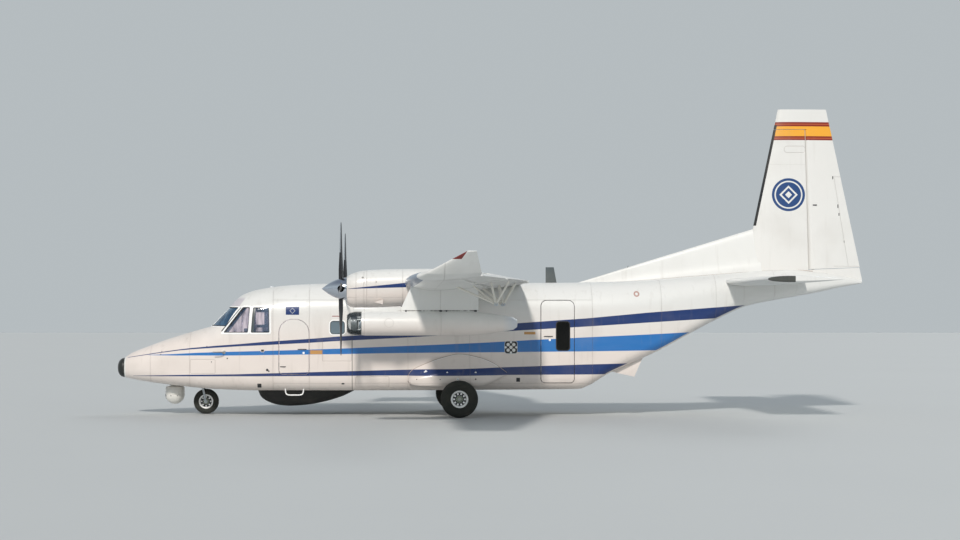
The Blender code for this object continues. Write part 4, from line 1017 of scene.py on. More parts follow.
WINDOW_STRIPS = (
    # name, window, where it starts and ends from the window's front edge, depths, finish
    ("slanted_post_groove", "front_side_window", -0.058, -0.037, -0.012, 0.0075, RUBBER_SEAL),
    ("slanted_post_seal", "front_side_window", 0.001, 0.032, -0.018, -0.004, RUBBER_SEAL),
    # A dark grey strip at the rear window's front edge: painted shade on the jamb.
    ("slide_rail", "rear_side_window", 0.004, 0.055, -0.018, -0.008, GREY_PAINT),
)
for tag, side in SIDES:
    for window, corners in SIDE_WINDOWS.items():
        frame_piece = skin_frame("frame", eased(grown(corners, 0.034), 0.05), eased(corners, 0.03), side,
            -0.012, 0.006, RIM_WHITE)
        fix(frame_piece, f"{window}_frame_{tag}")
        seal = skin_frame("seal", eased(grown(corners, 0.0005), 0.03), eased(grown(corners, -0.012), 0.025),
            side, -0.02, -0.004, RUBBER_SEAL)
        fix(seal, f"{window}_seal_{tag}")
    for name, window, near_step, far_step, low, high, finish in WINDOW_STRIPS:
        foot, head = (Vector(SIDE_WINDOWS[window][i]) for i in (0, 3))
        inward = Vector(((head - foot).y, (foot - head).x)).normalized()
        strip = [foot + inward * near_step, foot + inward * far_step, head + inward * far_step,
            head + inward * near_step]
        keep = [(x, min(max(z, 1.774), 2.304)) for x, z in strip]
        fix(skin_patch(name, keep, side, low, high, finish), f"{name}_{tag}")


# An outline clear of the nose, for a strip without a hole
NO_HOLE = ((3.0, 3.0), (3.1, 3.0), (3.1, 3.1))


def front_ring(name, outer, inner, low, high, finish):
    """A ring on the nose's front between two outlines of (y, z) points."""
    ring = fuselage_solid(name, -6.3, -5.1, high, finish, 0.07)
    combine(ring, fuselage_solid(name + "_inner", -6.35, -5.05, low, finish, 0.07))
    combine(ring, prism(name + "_keep", outer, -6.28, -5.12, FRONT_FRAME, finish), "INTERSECT")
    return combine(ring, prism(name + "_hole", inner, -6.4, -5.0, FRONT_FRAME, finish))


for tag, side in SIDES:
    corners = mirrored(WINDSHIELD, side)
    fix(front_ring("front_frame", eased(grown(corners, 0.016), 0.03), eased(corners, 0.022), -0.012, 0.006,
        RIM_WHITE), "windshield_frame_" + tag)
    fix(front_ring("front_seal", eased(grown(corners, 0.0005), 0.022), eased(grown(corners, -0.014), 0.02),
        -0.02, -0.004, RUBBER_SEAL), "windshield_seal_" + tag)
for name, half, low, high, finish in (("centre_post", 0.04, -0.02, 0.022, RIM_WHITE),
        ("centre_post_seal", 0.052, -0.02, 0.008, RUBBER_SEAL)):
    outer = ((-half, 1.925), (half, 1.925), (half, 2.335), (-half, 2.335))
    fix(front_ring(name, outer, NO_HOLE, low, high, finish), name, bevel=0.004)

# Wing, tailplane and fin sections

WING = (
    # y, leading_edge, chord, thickness
    (0.0, -1.895, 2.49, 0.18),
    (3.1, -1.895, 2.49, 0.18),
    (9.5, -1.805, 1.055, 0.16),
)
WING_Z = 2.8
WING_CAMBER = 0.015
WING_KINK = WING[1][0]
WING_TIP = WING[2][0]
TAILPLANE = ((0.0, 4.94, 1.8, 0.1), (4.2, 5.145, 1.515, 0.1))
TAILPLANE_Z = 2.85
TAILPLANE_TIP = TAILPLANE[-1][0]
FIN = ((2.9, 5.48, 2.595, 0.1), (4.09, 5.717, 2.107, 0.11), (6.6, 6.244, 1.046, 0.11))
wing_row = straight_table(WING)
tailplane_row = straight_table(TAILPLANE)
fin_row = straight_table(FIN)
TRAILING_EDGE = 0.006
HINGE_CLEAR = 0.012


def half_thickness(share, ratio):
    """The four-digit section's half thickness at a share of the chord."""
    terms = ((0.5, 0.2969), (1, -0.126), (2, -0.3516), (3, 0.2843), (4, -0.1015))
    return 5 * ratio * sum(factor * share ** power for power, factor in terms)


def camber_line(share, camber):
    return 4 * camber * share * (1 - share)


def section(row, camber=0.0, grow=0.0, steps=24):
    """A wing section's (chordwise, thickness) points, round the nose from edge to edge."""
    _, leading_edge, chord, ratio = row
    points = []
    for side, order in ((1, range(steps, 0, -1)), (-1, range(0, steps + 1))):
        for step in order:
            share = (1 - cos(pi * step / steps)) / 2
            half = half_thickness(share, ratio) * chord + TRAILING_EDGE / 2 + grow
            points.append((leading_edge + share * chord + grow * (2 * share - 1), camber_line(share, camber)
                * chord + side * half))
    return points


def wing_ring(y, side=1.0, grow=0.0):
    return [(x, side * y, WING_Z + z) for x, z in section(wing_row(y), WING_CAMBER, grow)]


def tailplane_ring(y, grow=0.0, ratio=0.1):
    row = [*tailplane_row(abs(y))[:3], ratio]
    return [(x, y, TAILPLANE_Z + z) for x, z in section(row, 0.0, grow)]


def fin_ring(z, grow=0.0):
    return [(x, y, z) for x, y in section(fin_row(z), 0.0, grow)]


def on_chord(row, share, camber=0.0):
    _, leading_edge, chord, ratio = row
    return leading_edge + share * chord, camber_line(share, camber) * chord, half_thickness(share,
        ratio) * chord


def surface_frame(start, end, normal):
    """Origin at start, X along the hinge line, Y aft, Z out of the surface."""
    along = (end - start).normalized()
    aft = normal.cross(along).normalized()
    if aft.x < 0:
        aft = -aft
    matrix = Matrix((along, aft, along.cross(aft))).transposed().to_4x4()
    matrix.translation = start
    return matrix


def control_surface(name, start, end, radii, chords, normal, finish, pins=True):
    """A surface with a round nose on its hinge line, and the cutter that clears it."""
    frame_matrix = surface_frame(start, end, normal)
    span = (end - start).length
    rings = []
    for along, radius, chord in zip((0.0, span), radii, chords):
        ring = [(along, chord, TRAILING_EDGE / 2), (along, chord, -TRAILING_EDGE / 2)]
        for step in range(15):
            angle = radians(-90 - 180 * step / 14)
            ring.append((along, radius * cos(angle), radius * sin(angle)))
        rings.append([frame_matrix @ Vector(point) for point in ring])
    surface = loft(name, rings, finish)
    clear = HINGE_CLEAR
    outline = ((-clear, -radii[0] - clear), (span + clear, -radii[1] - clear),
        (span + clear, chords[1] + 0.3), (-clear, chords[0] + 0.3),)
    cutter = prism(name + "_cutter", outline, -0.4, 0.4, frame_matrix, finish)
    if pins:
        reach = clear - GAP
        combine(surface, rod(name + "_pin", frame_matrix @ Vector((-reach, 0, 0)),
            frame_matrix @ Vector((span + reach, 0, 0)), 0.5 * min(radii), finish=STEEL), "UNION")
    return surface, cutter


wing_cutter = loft("wing_cutter",
    [wing_ring(y, s, SEAT_GAP) for y, s in ((WING_KINK, -1), (0, 1), (WING_KINK, 1))], PLAIN_AIRFRAME)
tailplane_cutter = loft("tailplane_cutter",
    [tailplane_ring(y, SEAT_GAP) for y in (-TAILPLANE_TIP, 0.0, TAILPLANE_TIP)], PLAIN_AIRFRAME)

# Cabin and its doors

CABIN_FLOOR = 0.75
DOORS = {
    # name: (x_front, x_rear, z_low, z_high, arch)
    "crew_door": (-4.515, -3.891, 0.9, 2.05, 0.28),
    "aft_door": (1.011, 1.703, 0.72, 2.45, 0.12),
}
DOOR_CLEAR = 0.012
PORT_CUT = (-1.5, -0.6)

KNUCKLE_RADIUS = 0.0072
KNUCKLE_OUT = DOOR_CLEAR - GAP - KNUCKLE_RADIUS
HINGE_ROOM = 0.003
KNUCKLE_HEIGHTS = {"crew_door": (1.1, 1.62), "aft_door": (1.0, 1.55, 2.05)}
DOOR_HINGE_Y = {"crew_door": -1.1188, "aft_door": -1.135}
DOOR_GLASS = (1.33, 1.61, 1.4, 2.005)
WINDOW_CENTRES = {-1.0: (-3.2865, -1.95, -0.62), 1.0: (-3.2865, -1.95, -0.62, 0.71)}
WINDOW_HALF = 0.158
WINDOW_HEIGHTS = (1.738, 2.024)


def door_outline(door, grow=0.0):
    x_front, x_rear, z_low, z_high, arch = DOORS[door]
    return rounded(x_front, x_rear, z_low, z_high, arch, grow, 0.08)


def cabin_window(centre, grow=0.0):
    return rounded(centre - WINDOW_HALF, centre + WINDOW_HALF, *WINDOW_HEIGHTS, 0.072, grow)


cabin = fuselage_solid("cabin", COCKPIT_END + GAP, CABIN_END - GAP, 0.0, AIRFRAME, 0.2)
combine(cabin, fuselage_cavity)
combine(cabin, wing_cutter)
for door, (x_front, x_rear, z_low, z_high, arch) in DOORS.items():
    hole = rounded(x_front - HINGE_ROOM, x_rear, z_low, z_high, arch, DOOR_CLEAR, 0.08)
    combine(cabin, side_plate(door + "_hole", hole, *PORT_CUT, DOOR_SEAL))
for side, centres in WINDOW_CENTRES.items():
    for centre in centres:
        combine(cabin, side_plate("window_hole", cabin_window(centre), *side_range(side), RUBBER_SEAL))
fix(cabin, "cabin_skin", "cabin_wall_port", "cabin_wall_starboard", "cabin_roof_front", "cabin_roof_rear")
for side, centres in WINDOW_CENTRES.items():
    for number, centre in enumerate(centres):
        label = f"{'port' if side < 0 else 'starboard'}_{number + 1}"
        fix(skin_patch("pane", cabin_window(centre, -0.0005), side, -0.022, -0.012, CABIN_GLASS),
            "cabin_pane_" + label)
        fix(skin_frame("pane_frame", cabin_window(centre, 0.022), cabin_window(centre, -0.002), side,
            -0.006, 0.003, RIM_WHITE), "cabin_frame_" + label)
        fix(skin_frame("pane_seal", cabin_window(centre, -0.0006), cabin_window(centre, -0.012), side,
            -0.011, -0.002, RUBBER_SEAL), "cabin_seal_" + label)
floor_space = fuselage_solid("floor_space", COCKPIT_END, CABIN_END, -WALL - GAP, LINING, 0.3)
floor_slab = box("floor", (COCKPIT_END + GAP, -1.2, 0.5), (CABIN_END - GAP, 1.2, CABIN_FLOOR), FLOOR_MAT)
combine(floor_slab, floor_space, "INTERSECT")
combine(floor_slab, side_plate("aft_door_sill", door_outline("aft_door", DOOR_CLEAR), -1.5, -1.04,
    FLOOR_MAT))
fix(floor_slab, "cabin_floor", "cabin_belly")

for door, (x_front, x_rear, z_low, z_high, arch) in DOORS.items():
    leaf = fuselage_solid(door, x_front - 0.2, x_rear + 0.2, 0.0, AIRFRAME, 0.1)
    combine(leaf, fuselage_cavity)
    combine(leaf, side_plate(door + "_keep", door_outline(door), *PORT_CUT, DOOR_SEAL), "INTERSECT")
    if door == "aft_door":
        combine(leaf, side_plate("door_window_hole", rounded(*DOOR_GLASS, 0.06), *PORT_CUT, RUBBER_SEAL))
        show(skin_patch("door_pane", rounded(*DOOR_GLASS, 0.06, -0.0005), -1.0, -0.022, -0.012,
            SMOKED_GLASS), "aft_door_pane", door)
        show(skin_frame("door_seal", rounded(*DOOR_GLASS, 0.06, 0.012), rounded(*DOOR_GLASS, 0.06, -0.008),
            -1.0, -0.01, 0.004, RUBBER_SEAL), "aft_door_seal", door)
    hinge = Vector((x_front - KNUCKLE_OUT, DOOR_HINGE_Y[door], 0.0))
    knuckles = [rod("knuckle", hinge + Z_AXIS * (z - 0.045), hinge + Z_AXIS * (z + 0.045), KNUCKLE_RADIUS,
        finish=STEEL) for z in KNUCKLE_HEIGHTS[door]]
    show(leaf, door + "_leaf", door, door)
    show(joined("knuckles", knuckles), door + "_knuckles", door)
    handle_x = x_rear - 0.14 if door == "crew_door" else x_front + 0.15
    handle_z = 1.42 if door == "crew_door" else 1.694
    bar = [on_side(handle_x + dx, handle_z, -1.0, out) for dx,
        out in ((-0.085, 0.0), (-0.08, 0.012), (0.0, 0.014), (0.08, 0.012), (0.085, 0.0))]
    show(tube("handle", bent(bar), 0.008, DARK_METAL), door + "_handle", door)
    lock = on_side(handle_x + 0.03, handle_z - 0.075)
    show(rod("lock", lock + Y_AXIS * 0.01, lock - Y_AXIS * 0.004, 0.026, 0.024, 24, RIM_WHITE),
        door + "_lock", door)

STEP_LOOP = ((-4.392, -0.98, 0.64), (-4.39, -0.98, 0.54), (-4.372, -0.98, 0.475), (-4.32, -0.98, 0.452),
    (-4.2, -0.98, 0.45), (-4.08, -0.98, 0.452), (-4.028, -0.98, 0.475), (-4.01, -0.98, 0.54),
    (-4.008, -0.98, 0.64))
fix(tube("step", bent(STEP_LOOP, 4), 0.0135, RIM_WHITE), "crew_step")
aerial_rings = []
for z in spread(2.8, 3.18, 8):
    front, rear = 1.208, 1.455 - 0.185 * (z - 2.8)
    aerial_rings.append([(front + (rear - front) * (0.5 - 0.5 * cos(t)), 0.012 * sin(t), z)
        for t in angles(20)])
fix(loft("aerial", aerial_rings, GREY_PAINT), "roof_blade_aerial")

VENTS = {
    # name: (x, z, width, height)
    "nose_vent": (-4.937, 0.652, 0.086, 0.086), "belly_vent": (0.524, 0.779, 0.08, 0.086),
    "drain_cover": (-3.17, 0.695, 0.06, 0.03), "static_plate": (-4.87, 1.393, 0.06, 0.044),
}
for name, (x, z, width, height) in VENTS.items():
    edges = (x - width / 2, x + width / 2, z - height / 2, z + height / 2, 0.008)
    plate = skin_patch(name, rounded(*edges), -1.0, -0.01, 0.002, DARK_METAL)
    fix(plate, name)
    rim = skin_frame(name, rounded(*edges, 0.01), rounded(*edges), -1.0, -0.008, 0.004, PLAIN_AIRFRAME)
    fix(rim, name + "_rim")
studs = []
for x, z, size in ((-4.77, 0.985, 0.03), (-4.735, 0.96, 0.018), (-7.05, 1.365, 0.01), (-7.075, 1.3, 0.012),
        (-5.96, 1.15, 0.012), (-5.62, 1.226, 0.016), (-6.06, 1.48, 0.01)):
    spot = on_side(x, z)
    studs.append(rod("stud", spot + Y_AXIS * 0.02, spot - Y_AXIS * 0.005, size, size * 0.85, 20,
        DARK_METAL))
fix(joined("studs", studs), "nose_studs")
hold = [on_side(x, 1.053, -1.0, out) for x, out in ((-4.497, -0.004), (-4.45, 0.008), (-4.4, 0.008),
    (-4.38, -0.004))]
show(tube("hand_hold", bent(hold), 0.009, DARK_METAL), "crew_door_hand_hold", "crew_door")
roof_light = turned("roof_light", ((-0.03, 0.0), (-0.03, 0.056), (0.0, 0.056), (0.012, 0.052), (0.03, 0.04),
    (0.042, 0.022), (0.046, 0.0)), Vector((-4.74, 0.0, 2.726)), Z_AXIS, 40, CLEAR_LENS)
fix(roof_light, "roof_beacon")
cabin_lamps = [turned("lamp", ((0.0, 0.0), (0.0, 0.11), (-0.02, 0.1), (-0.03, 0.0)),
    Vector((x, y, fuselage_row(x)[2] - WALL)), Z_AXIS, 32, LAMP_LENS) for x in (-5.15, -4.8)
    for y in (-0.3, 0.3)]
fix(joined("cabin_lamps", cabin_lamps), "cockpit_ceiling_lamps")

# Aft fuselage, ramp, fin and tailplane

RAMP = (2.25, 4.3, -0.7, 0.7)
STRAKE = ((2.597, 0.925), (3.012, 0.835), (3.19, 1.24), (3.19, 1.4), (2.597, 1.1))
aft = fuselage_solid("aft", CABIN_END, TAIL_END, 0.0, AIRFRAME, 0.16)
combine(aft, fuselage_cavity)
combine(aft, prism("ramp_hole", rounded(*RAMP, 0.05, DOOR_CLEAR), 0.3, 2.2, None, RUBBER_SEAL))
combine(aft, tailplane_cutter)
for tag, side in SIDES:
    strake = side_plate("strake", STRAKE, side * 0.86 - 0.012, side * 0.86 + 0.012, PLAIN_AIRFRAME)
    fix(combine(strake, fuselage_outer), "strake_" + tag, bevel=0.004)
fix(aft, "aft_skin", "aft_fuselage")
ramp = fuselage_solid("ramp", CABIN_END, 4.6, 0.0, AIRFRAME, 0.16)
combine(ramp, fuselage_cavity)
combine(ramp, prism("ramp_keep", rounded(*RAMP, 0.08), 0.3, 2.2, None, RUBBER_SEAL), "INTERSECT")
# The slanted lower edge lets the lowered ramp pass the skin ahead of it
ramp_slope = ((2.15, 0.81), (2.243, 0.81), (2.343, 0.71), (2.15, 0.71))
combine(ramp, side_plate("ramp_edge_slope", ramp_slope, -1.0, 1.0, RUBBER_SEAL))
show(ramp, "ramp_skin", "rear_ramp", "rear_ramp")
ramp_hinge = Vector((RAMP[0] - KNUCKLE_OUT, 0.0, 0.81))
show(joined("ramp_knuckles",
    [rod("knuckle", ramp_hinge + Y_AXIS * (y - 0.08), ramp_hinge + Y_AXIS * (y + 0.08), KNUCKLE_RADIUS,
    finish=STEEL) for y in (-0.45, 0.45)]), "ramp_knuckles", "rear_ramp")


def fin_edge(z):
    """Where the fin and rudder end at a height."""
    return 7.29 + 0.213 * (6.6 - z)


FIN_BANDS = (5.933, 6.02, 6.233, 6.326)
EMBLEM = (6.459, 4.748)
EMBLEM_RADIUS = 0.358


def tail_paint(name, seam_lines):
    finish = Finish(name)
    colour = finish.mix(finish.noise(0.5, 2.0) * 0.2, WHITE, WARM_WHITE)
    side = abs(finish.facing[1]).above(0.5, 0.1)
    low_red, low_yellow, high_yellow, high_red = FIN_BANDS
    colour = finish.mix(finish.z.within(low_red, high_red) * side, colour, BAND_RED)
    colour = finish.mix(finish.z.within(low_yellow, high_yellow) * side, colour, BAND_YELLOW)
    pinstripes = finish.near(finish.z, ((low_red + low_yellow) / 2, (high_yellow + high_red) / 2), 0.014)
    colour = finish.mix(pinstripes * side, colour, rgb(196, 104, 60))
    colour = finish.mix(finish.disc(EMBLEM, EMBLEM_RADIUS) * side, colour, EMBLEM_BLUE)
    ring = finish.disc(EMBLEM, EMBLEM_RADIUS - 0.055) - finish.disc(EMBLEM, EMBLEM_RADIUS - 0.085)
    kite = (abs(finish.x - EMBLEM[0]) + abs(finish.z - EMBLEM[1]))
    motif = ring + kite.within(0.15, 0.2, 0.004) + kite.within(0.0, 0.075, 0.004)
    colour = finish.mix(motif * side, colour, WHITE)
    boot_edge = finish.follow(finish.z, [(z, edge + 0.05) for z, edge, _, _ in FIN], (2.9, 6.6), (5.0, 7.0))
    boot = finish.x.below(boot_edge) * finish.z.within(4.08, 6.26)
    colour = finish.mix(boot, colour, rgb(34, 35, 36))
    return aged(finish, colour, seam_lines(finish), 0.15, 0.1)


def fin_seams(finish):
    seams = finish.near(finish.z, (5.4,), 0.006) * 0.5
    return seams.most(finish.outline((6.37, 5.66, 6.83, 5.8), 0.065, 0.012))


def rudder_seams(finish):
    tab = finish.x - finish.follow(finish.z, [(3.14, 7.78), (5.14, 7.46)], (3.0, 6.6), (7.0, 8.0))
    seams = (1 - abs(tab).maths("DIVIDE", 0.008, clamp=True)) * finish.z.within(3.2, 5.14)
    return seams.most(finish.near(finish.z, (5.14, 3.2), 0.007) * finish.x.above(7.45))


FIN_PAINT = tail_paint("fin_paint", fin_seams)
RUDDER_PAINT = tail_paint("rudder_paint", rudder_seams)
HINGE_SHARE = 0.62
FIN_TOP = 6.16
rudder_low = Vector((7.011, 0.0, 3.14))
rudder_high = Vector((6.889, 0.0, 6.17))
fin = loft("fin", [fin_ring(z) for z in spread(2.9, FIN_TOP, 12, (4.09,))], FIN_PAINT)
combine(fin, fuselage_outer)
rudder_radii = (0.115, 0.062)
rudder, rudder_cutter = control_surface("rudder", rudder_low, rudder_high, rudder_radii,
    (fin_edge(rudder_low.z) - rudder_low.x, fin_edge(rudder_high.z) - rudder_high.x), Y_AXIS, RUDDER_PAINT)
combine(fin, rudder_cutter)
combine(rudder, loft("horn", [fin_ring(z) for z in spread(FIN_TOP + 0.01, 6.6, 4)], RUDDER_PAINT), "UNION")
fix(fin, "fin_skin", "fin")
show(rudder, "rudder_skin", "rudder", "rudder")
fittings = []
for x, z, length, height in ((7.433, 5.122, 0.018, 0.066), (7.546, 4.503, 0.02, 0.08),
        (7.568, 4.325, 0.02, 0.06), (7.678, 3.728, 0.018, 0.06), (7.767, 3.205, 0.018, 0.06),
        (7.03, 4.525, 0.09, 0.024), (7.11, 3.18, 0.15, 0.036)):
    share = (fin_edge(z) - x) / (fin_edge(z) - 6.95)
    half = 0.003 + 0.095 * share + 0.004
    fittings.append(box("fitting", (x - length / 2, -half, z - height / 2),
        (x + length / 2, half, z + height / 2), DARK_METAL))
show(joined("fittings", fittings), "rudder_fittings", "rudder", bevel=0.003)
DORSAL_PAINT = plain_paint("dorsal_paint", shade=0.12)
DORSAL_FRONT = 1.9
DORSAL_BACK = 5.86
dorsal_rings = []
for x in spread(DORSAL_FRONT, DORSAL_BACK, 30):
    share = (x - DORSAL_FRONT) / (DORSAL_BACK - DORSAL_FRONT)
    top = 2.845 + 0.3056 * (x - DORSAL_FRONT)
    base = fuselage_row(x)[2] - 0.06
    thick = 0.024 + 0.094 * share
    ring = []
    for step in range(-11, 12):
        lean = abs(step) / 11
        z = top - (top - base) * lean ** 1.5
        width = 0.016 * min(1.0, 5 * lean) + (thick - 0.016) * lean ** 0.9
        width += 0.16 * share * max(0.0, 1 - (z - base) / 0.3) ** 2.5
        ring.append((x, copysign(width, step) if step else 0.0, z))
    dorsal_rings.append(ring)
dorsal = loft("dorsal", dorsal_rings, DORSAL_PAINT)
combine(dorsal, fuselage_outer)
combine(dorsal, rudder_cutter)
fix(dorsal, "dorsal_fin", sharp=40)
# A darker line along the dorsal fin's foot: painted shade in the crease.
for tag, side in SIDES:
    crease = []
    for x in spread(2.5, DORSAL_BACK, 14):
        share = (x - DORSAL_FRONT) / (DORSAL_BACK - DORSAL_FRONT)
        crease.append((x, side * (0.024 + 0.185 * share), fuselage_row(x)[2]))
    crease += [(6.3, side * 0.19, 3.113), (6.7, side * 0.15, 3.112), (6.98, side * 0.11, 3.092)]
    fix(tube("crease", crease, 0.006, CREASE_SHADE_PAINT), "dorsal_crease_" + tag)
fix(rod("spike", (2.985, 0.0, 3.15), (3.0, 0.0, 3.213), 0.008, 0.005, 12, GREY_PAINT), "dorsal_spike")

finish = Finish("tailplane_paint")
tail_boot = finish.x.below(5.68) * abs(finish.y).above(4.176)
tail_colour = finish.mix(tail_boot, WHITE, rgb(70, 72, 68))
TAIL_PAINT = aged(finish, tail_colour, finish.near(finish.x, (5.55,), 0.006), 0.15, 0.1)
ELEVATOR_PAINT = plain_paint("elevator_paint", WHITE, lambda f: f.near(abs(f.y), (0.9, 1.7, 2.5, 3.3),
    0.006))
TIP_TAPER = ((4.2, 0.045), (4.185, 0.07), (4.16, 0.088), (4.134, 0.1))
tail_rings = [tailplane_ring(-y, 0.0, ratio) for y, ratio in TIP_TAPER] + [tailplane_ring(0.0)]
tail_rings += [tailplane_ring(y, 0.0, ratio) for y, ratio in reversed(TIP_TAPER)]
tail = loft("tail", tail_rings, TAIL_PAINT)
ELEVATOR_SPAN = (0.8, 4.12)
for tag, side in SIDES:
    ends = []
    for y in ELEVATOR_SPAN:
        row = tailplane_row(y)
        x, _, half = on_chord(row, HINGE_SHARE)
        ends.append((Vector((x, side * y, TAILPLANE_Z)), half, row[1] + row[2] - x))
    elevator, elevator_cutter = control_surface("elevator", ends[0][0], ends[1][0],
        (ends[0][1], ends[1][1]), (ends[0][2], ends[1][2]), Z_AXIS, ELEVATOR_PAINT)
    combine(tail, elevator_cutter)
    show(elevator, "elevator_skin_" + tag, "elevator_" + tag, "elevator_" + tag)
fix(tail, "tailplane_skin", "tailplane")

# Wing, flaps and ailerons

FLAP_SHARE = 0.72
PIVOT_AFT = 0.24
PIVOT_DROP = 0.47
INNER_FLAP = (1.26, 3.06)
OUTER_FLAP = (3.22, 6.15)
AILERON = (6.33, 9.25)
BRACKETS = {"inner_flap": (1.9,), "outer_flap": (3.8, 5.6)}
finish = Finish("wing_paint")
edge_line = finish.follow(abs(finish.y), [(y, edge + 0.11) for y, edge, _, _ in WING], (0.0, 9.5),
    (-2.0, -1.0))
edge_metal = finish.x.below(edge_line) * abs(finish.y).within(3.3, 9.45)
wing_colour = finish.mix(edge_metal, WHITE, rgb(126, 140, 158))
lamp_slope = finish.x - (finish.z - 3.068) * 0.7
lamp_area = finish.z.within(3.068, 3.192) * lamp_slope.below(-1.085)
wing_colour = finish.mix(lamp_area * finish.y.below(0.0), wing_colour, rgb(118, 34, 30))
wing_colour = finish.mix(lamp_area * finish.y.above(0.0), wing_colour, rgb(24, 104, 62))
wing_seams = finish.near(abs(finish.y), (1.2, 2.2, 3.1, 4.2, 5.3, 6.25, 7.3, 8.4), 0.007)
wing_seams = wing_seams.most(finish.near(finish.x, (-1.35, -0.55), 0.007))
WING_PAINT = aged(finish, wing_colour, wing_seams, 0.18, 0.08)
FLAP_PAINT = plain_paint("flap_paint", WHITE,
    lambda f: f.near(abs(f.y), (1.9, 2.5, 3.8, 4.7, 5.6, 7.3, 8.3), 0.006))
wing_centre = loft("wing_centre",
    [wing_ring(y, s) for y, s in ((WING_KINK - GAP, -1), (0, 1), (WING_KINK - GAP, 1))], WING_PAINT)


def hinge_point(y, side):
    row = wing_row(y)
    x, rise, half = on_chord(row, FLAP_SHARE, WING_CAMBER)
    return Vector((x, side * y, WING_Z + rise)), half, row[1] + row[2] - x


def pivot_offset(along):
    aft = (X_AXIS - along * along.x).normalized()
    return aft * PIVOT_AFT - Z_AXIS * PIVOT_DROP


def flap_bracket(y, side, along):
    """A fixed strut and a moving V of struts that meet at a pivot under the wing."""
    nose_point = hinge_point(y, side)[0]
    aft = (X_AXIS - along * along.x).normalized()
    pivot = nose_point + pivot_offset(along)
    eye = along * 0.02

    def strut(foot, back, rise, radius):
        return rod("strut", foot, foot + aft * back + Z_AXIS * rise, radius, sides=14, finish=STRUT_PAINT)

    fixed = [strut(pivot, -0.82, PIVOT_DROP - 0.115, 0.019), strut(pivot, -0.46, PIVOT_DROP - 0.1, 0.016),
        rod("eye", pivot - eye, pivot + eye, 0.034, finish=GEAR_METAL)]
    centre = pivot + along * 0.047
    arm = [rod("eye", centre - eye, centre + eye, 0.034, finish=GEAR_METAL),
        rod("bolt", centre - eye * 3.2, centre + eye * 1.5, 0.012, finish=STEEL)]
    arm += [strut(centre, back, rise, 0.021) for back, rise in ((-0.1, 0.44), (0.24, 0.42))]
    return fixed, arm


WINGLET = (
    # y, z, leading_edge, chord, thickness, lean
    (9.5, 2.8, -1.805, 1.055, 0.16, 0),
    (9.56, 2.81, -1.77, 1.02, 0.12, 15),
    (9.72, 2.855, -1.64, 0.9, 0.09, 35),
    (10.14, 3.194, -0.994, 0.15, 0.1, 40),
)
winglet_row = smooth_table(WINGLET, (9.5, 9.56, 9.72))


def winglet_ring(row, side):
    y, z, leading_edge, chord, ratio, lean = row
    lean = radians(lean)
    camber = WING_CAMBER * max(0.0, (9.56 - y) / 0.06)
    return [(x, side * (y - sin(lean) * offset), z + cos(lean) * offset) for x,
        offset in section((y, leading_edge, chord, ratio), camber)]


for tag, side in SIDES:
    rings = [wing_ring(y, side) for y in (WING_KINK, WING_TIP)]
    rings += [winglet_ring(winglet_row(y), side) for y in spread(9.52, 10.14, 14, (9.56, 9.72))]
    outer_wing = loft("outer_wing", rings, WING_PAINT)
    for kind, span, panel in (("inner_flap", INNER_FLAP, wing_centre),
            ("outer_flap", OUTER_FLAP, outer_wing), ("aileron", AILERON, outer_wing)):
        (start, start_half, start_chord), (end, end_half, end_chord) = (hinge_point(y, side) for y in span)
        surface, surface_cutter = control_surface(kind, start, end, (start_half, end_half),
            (start_chord, end_chord), Z_AXIS, FLAP_PAINT, kind == "aileron")
        combine(panel, surface_cutter)
        along = (end - start).normalized()
        for number, y in enumerate(BRACKETS.get(kind, ())):
            fixed, arm = flap_bracket(y, side, along)
            label = f"{kind}_{number + 1}_{tag}"
            fix(joined("fixed_strut", fixed), "fixed_strut_" + label)
            show(joined("moving_strut", arm), "moving_strut_" + label, f"{kind}_{tag}")
        show(surface, f"{kind}_skin_{tag}", f"{kind}_{tag}", f"{kind}_{tag}")
    fix(outer_wing, "outer_wing_skin_" + tag, "outer_wing_" + tag)
fix(wing_centre, "wing_centre_skin", "wing_centre")

# Nacelles, engines and propellers

HUB_Y = 2.65
HUB_Z = 2.678
ENGINE_Z = 2.7
GEARBOX_RADIUS = 0.0995
SHAFT_FRONT = -3.0687
NACELLE = (
    # x, bottom, top, half_width
    (-3.062, 2.36, 2.925, 0.29), (-2.96, 2.3, 2.99, 0.335), (-2.7, 2.3, 3.05, 0.365),
    (-2.05, 2.32, 3.08, 0.37), (-1.5, 2.42, 3.085, 0.35), (-0.9, 2.56, 3.06, 0.26),
    (-0.45, 2.68, 2.96, 0.08),
)
nacelle_row = smooth_table(NACELLE)
HUB_X = -3.184
SPINNER_LENGTH = 0.506
SPINNER_BACK = HUB_X + 0.115
SPINNER_RADIUS = 0.2275
finish = Finish("nacelle_paint")
wedge_low = finish.follow(finish.x, [(-3.017, 2.672), (-1.887, 2.704)], (-3.1, -1.8), (2.5, 3.0))
wedge_high = finish.follow(finish.x, [(-3.017, 2.68), (-1.887, 2.794)], (-3.1, -1.8), (2.5, 3.0))
wedge = finish.z.within(wedge_low, wedge_high, 0.004) * finish.x.within(-3.03, -1.87)
wedge = wedge * abs(finish.facing[1]).above(0.4, 0.1)
# Warmer towards the bottom: painted warm light bounced up from the ground.
nacelle_tone = finish.mix(finish.z.below(2.75, 0.4), WHITE, WARM_WHITE)
nacelle_seams = finish.near(finish.x, (-2.876, -2.716, -2.66, -1.936), 0.007)
nacelle_seams = nacelle_seams.most(finish.near(finish.z, (2.5,), 0.006) * finish.x.below(-1.94))
nacelle_marks = finish.disc((-2.742, 2.9), 0.02).most(finish.disc((-2.47, 2.812), 0.014))
nacelle_tone = finish.mix(wedge, nacelle_tone, NAVY)
nacelle_tone = finish.mix(nacelle_marks * 0.7, nacelle_tone, rgb(70, 66, 62))
NACELLE_PAINT = aged(finish, nacelle_tone, nacelle_seams, 0.2, 0.2)


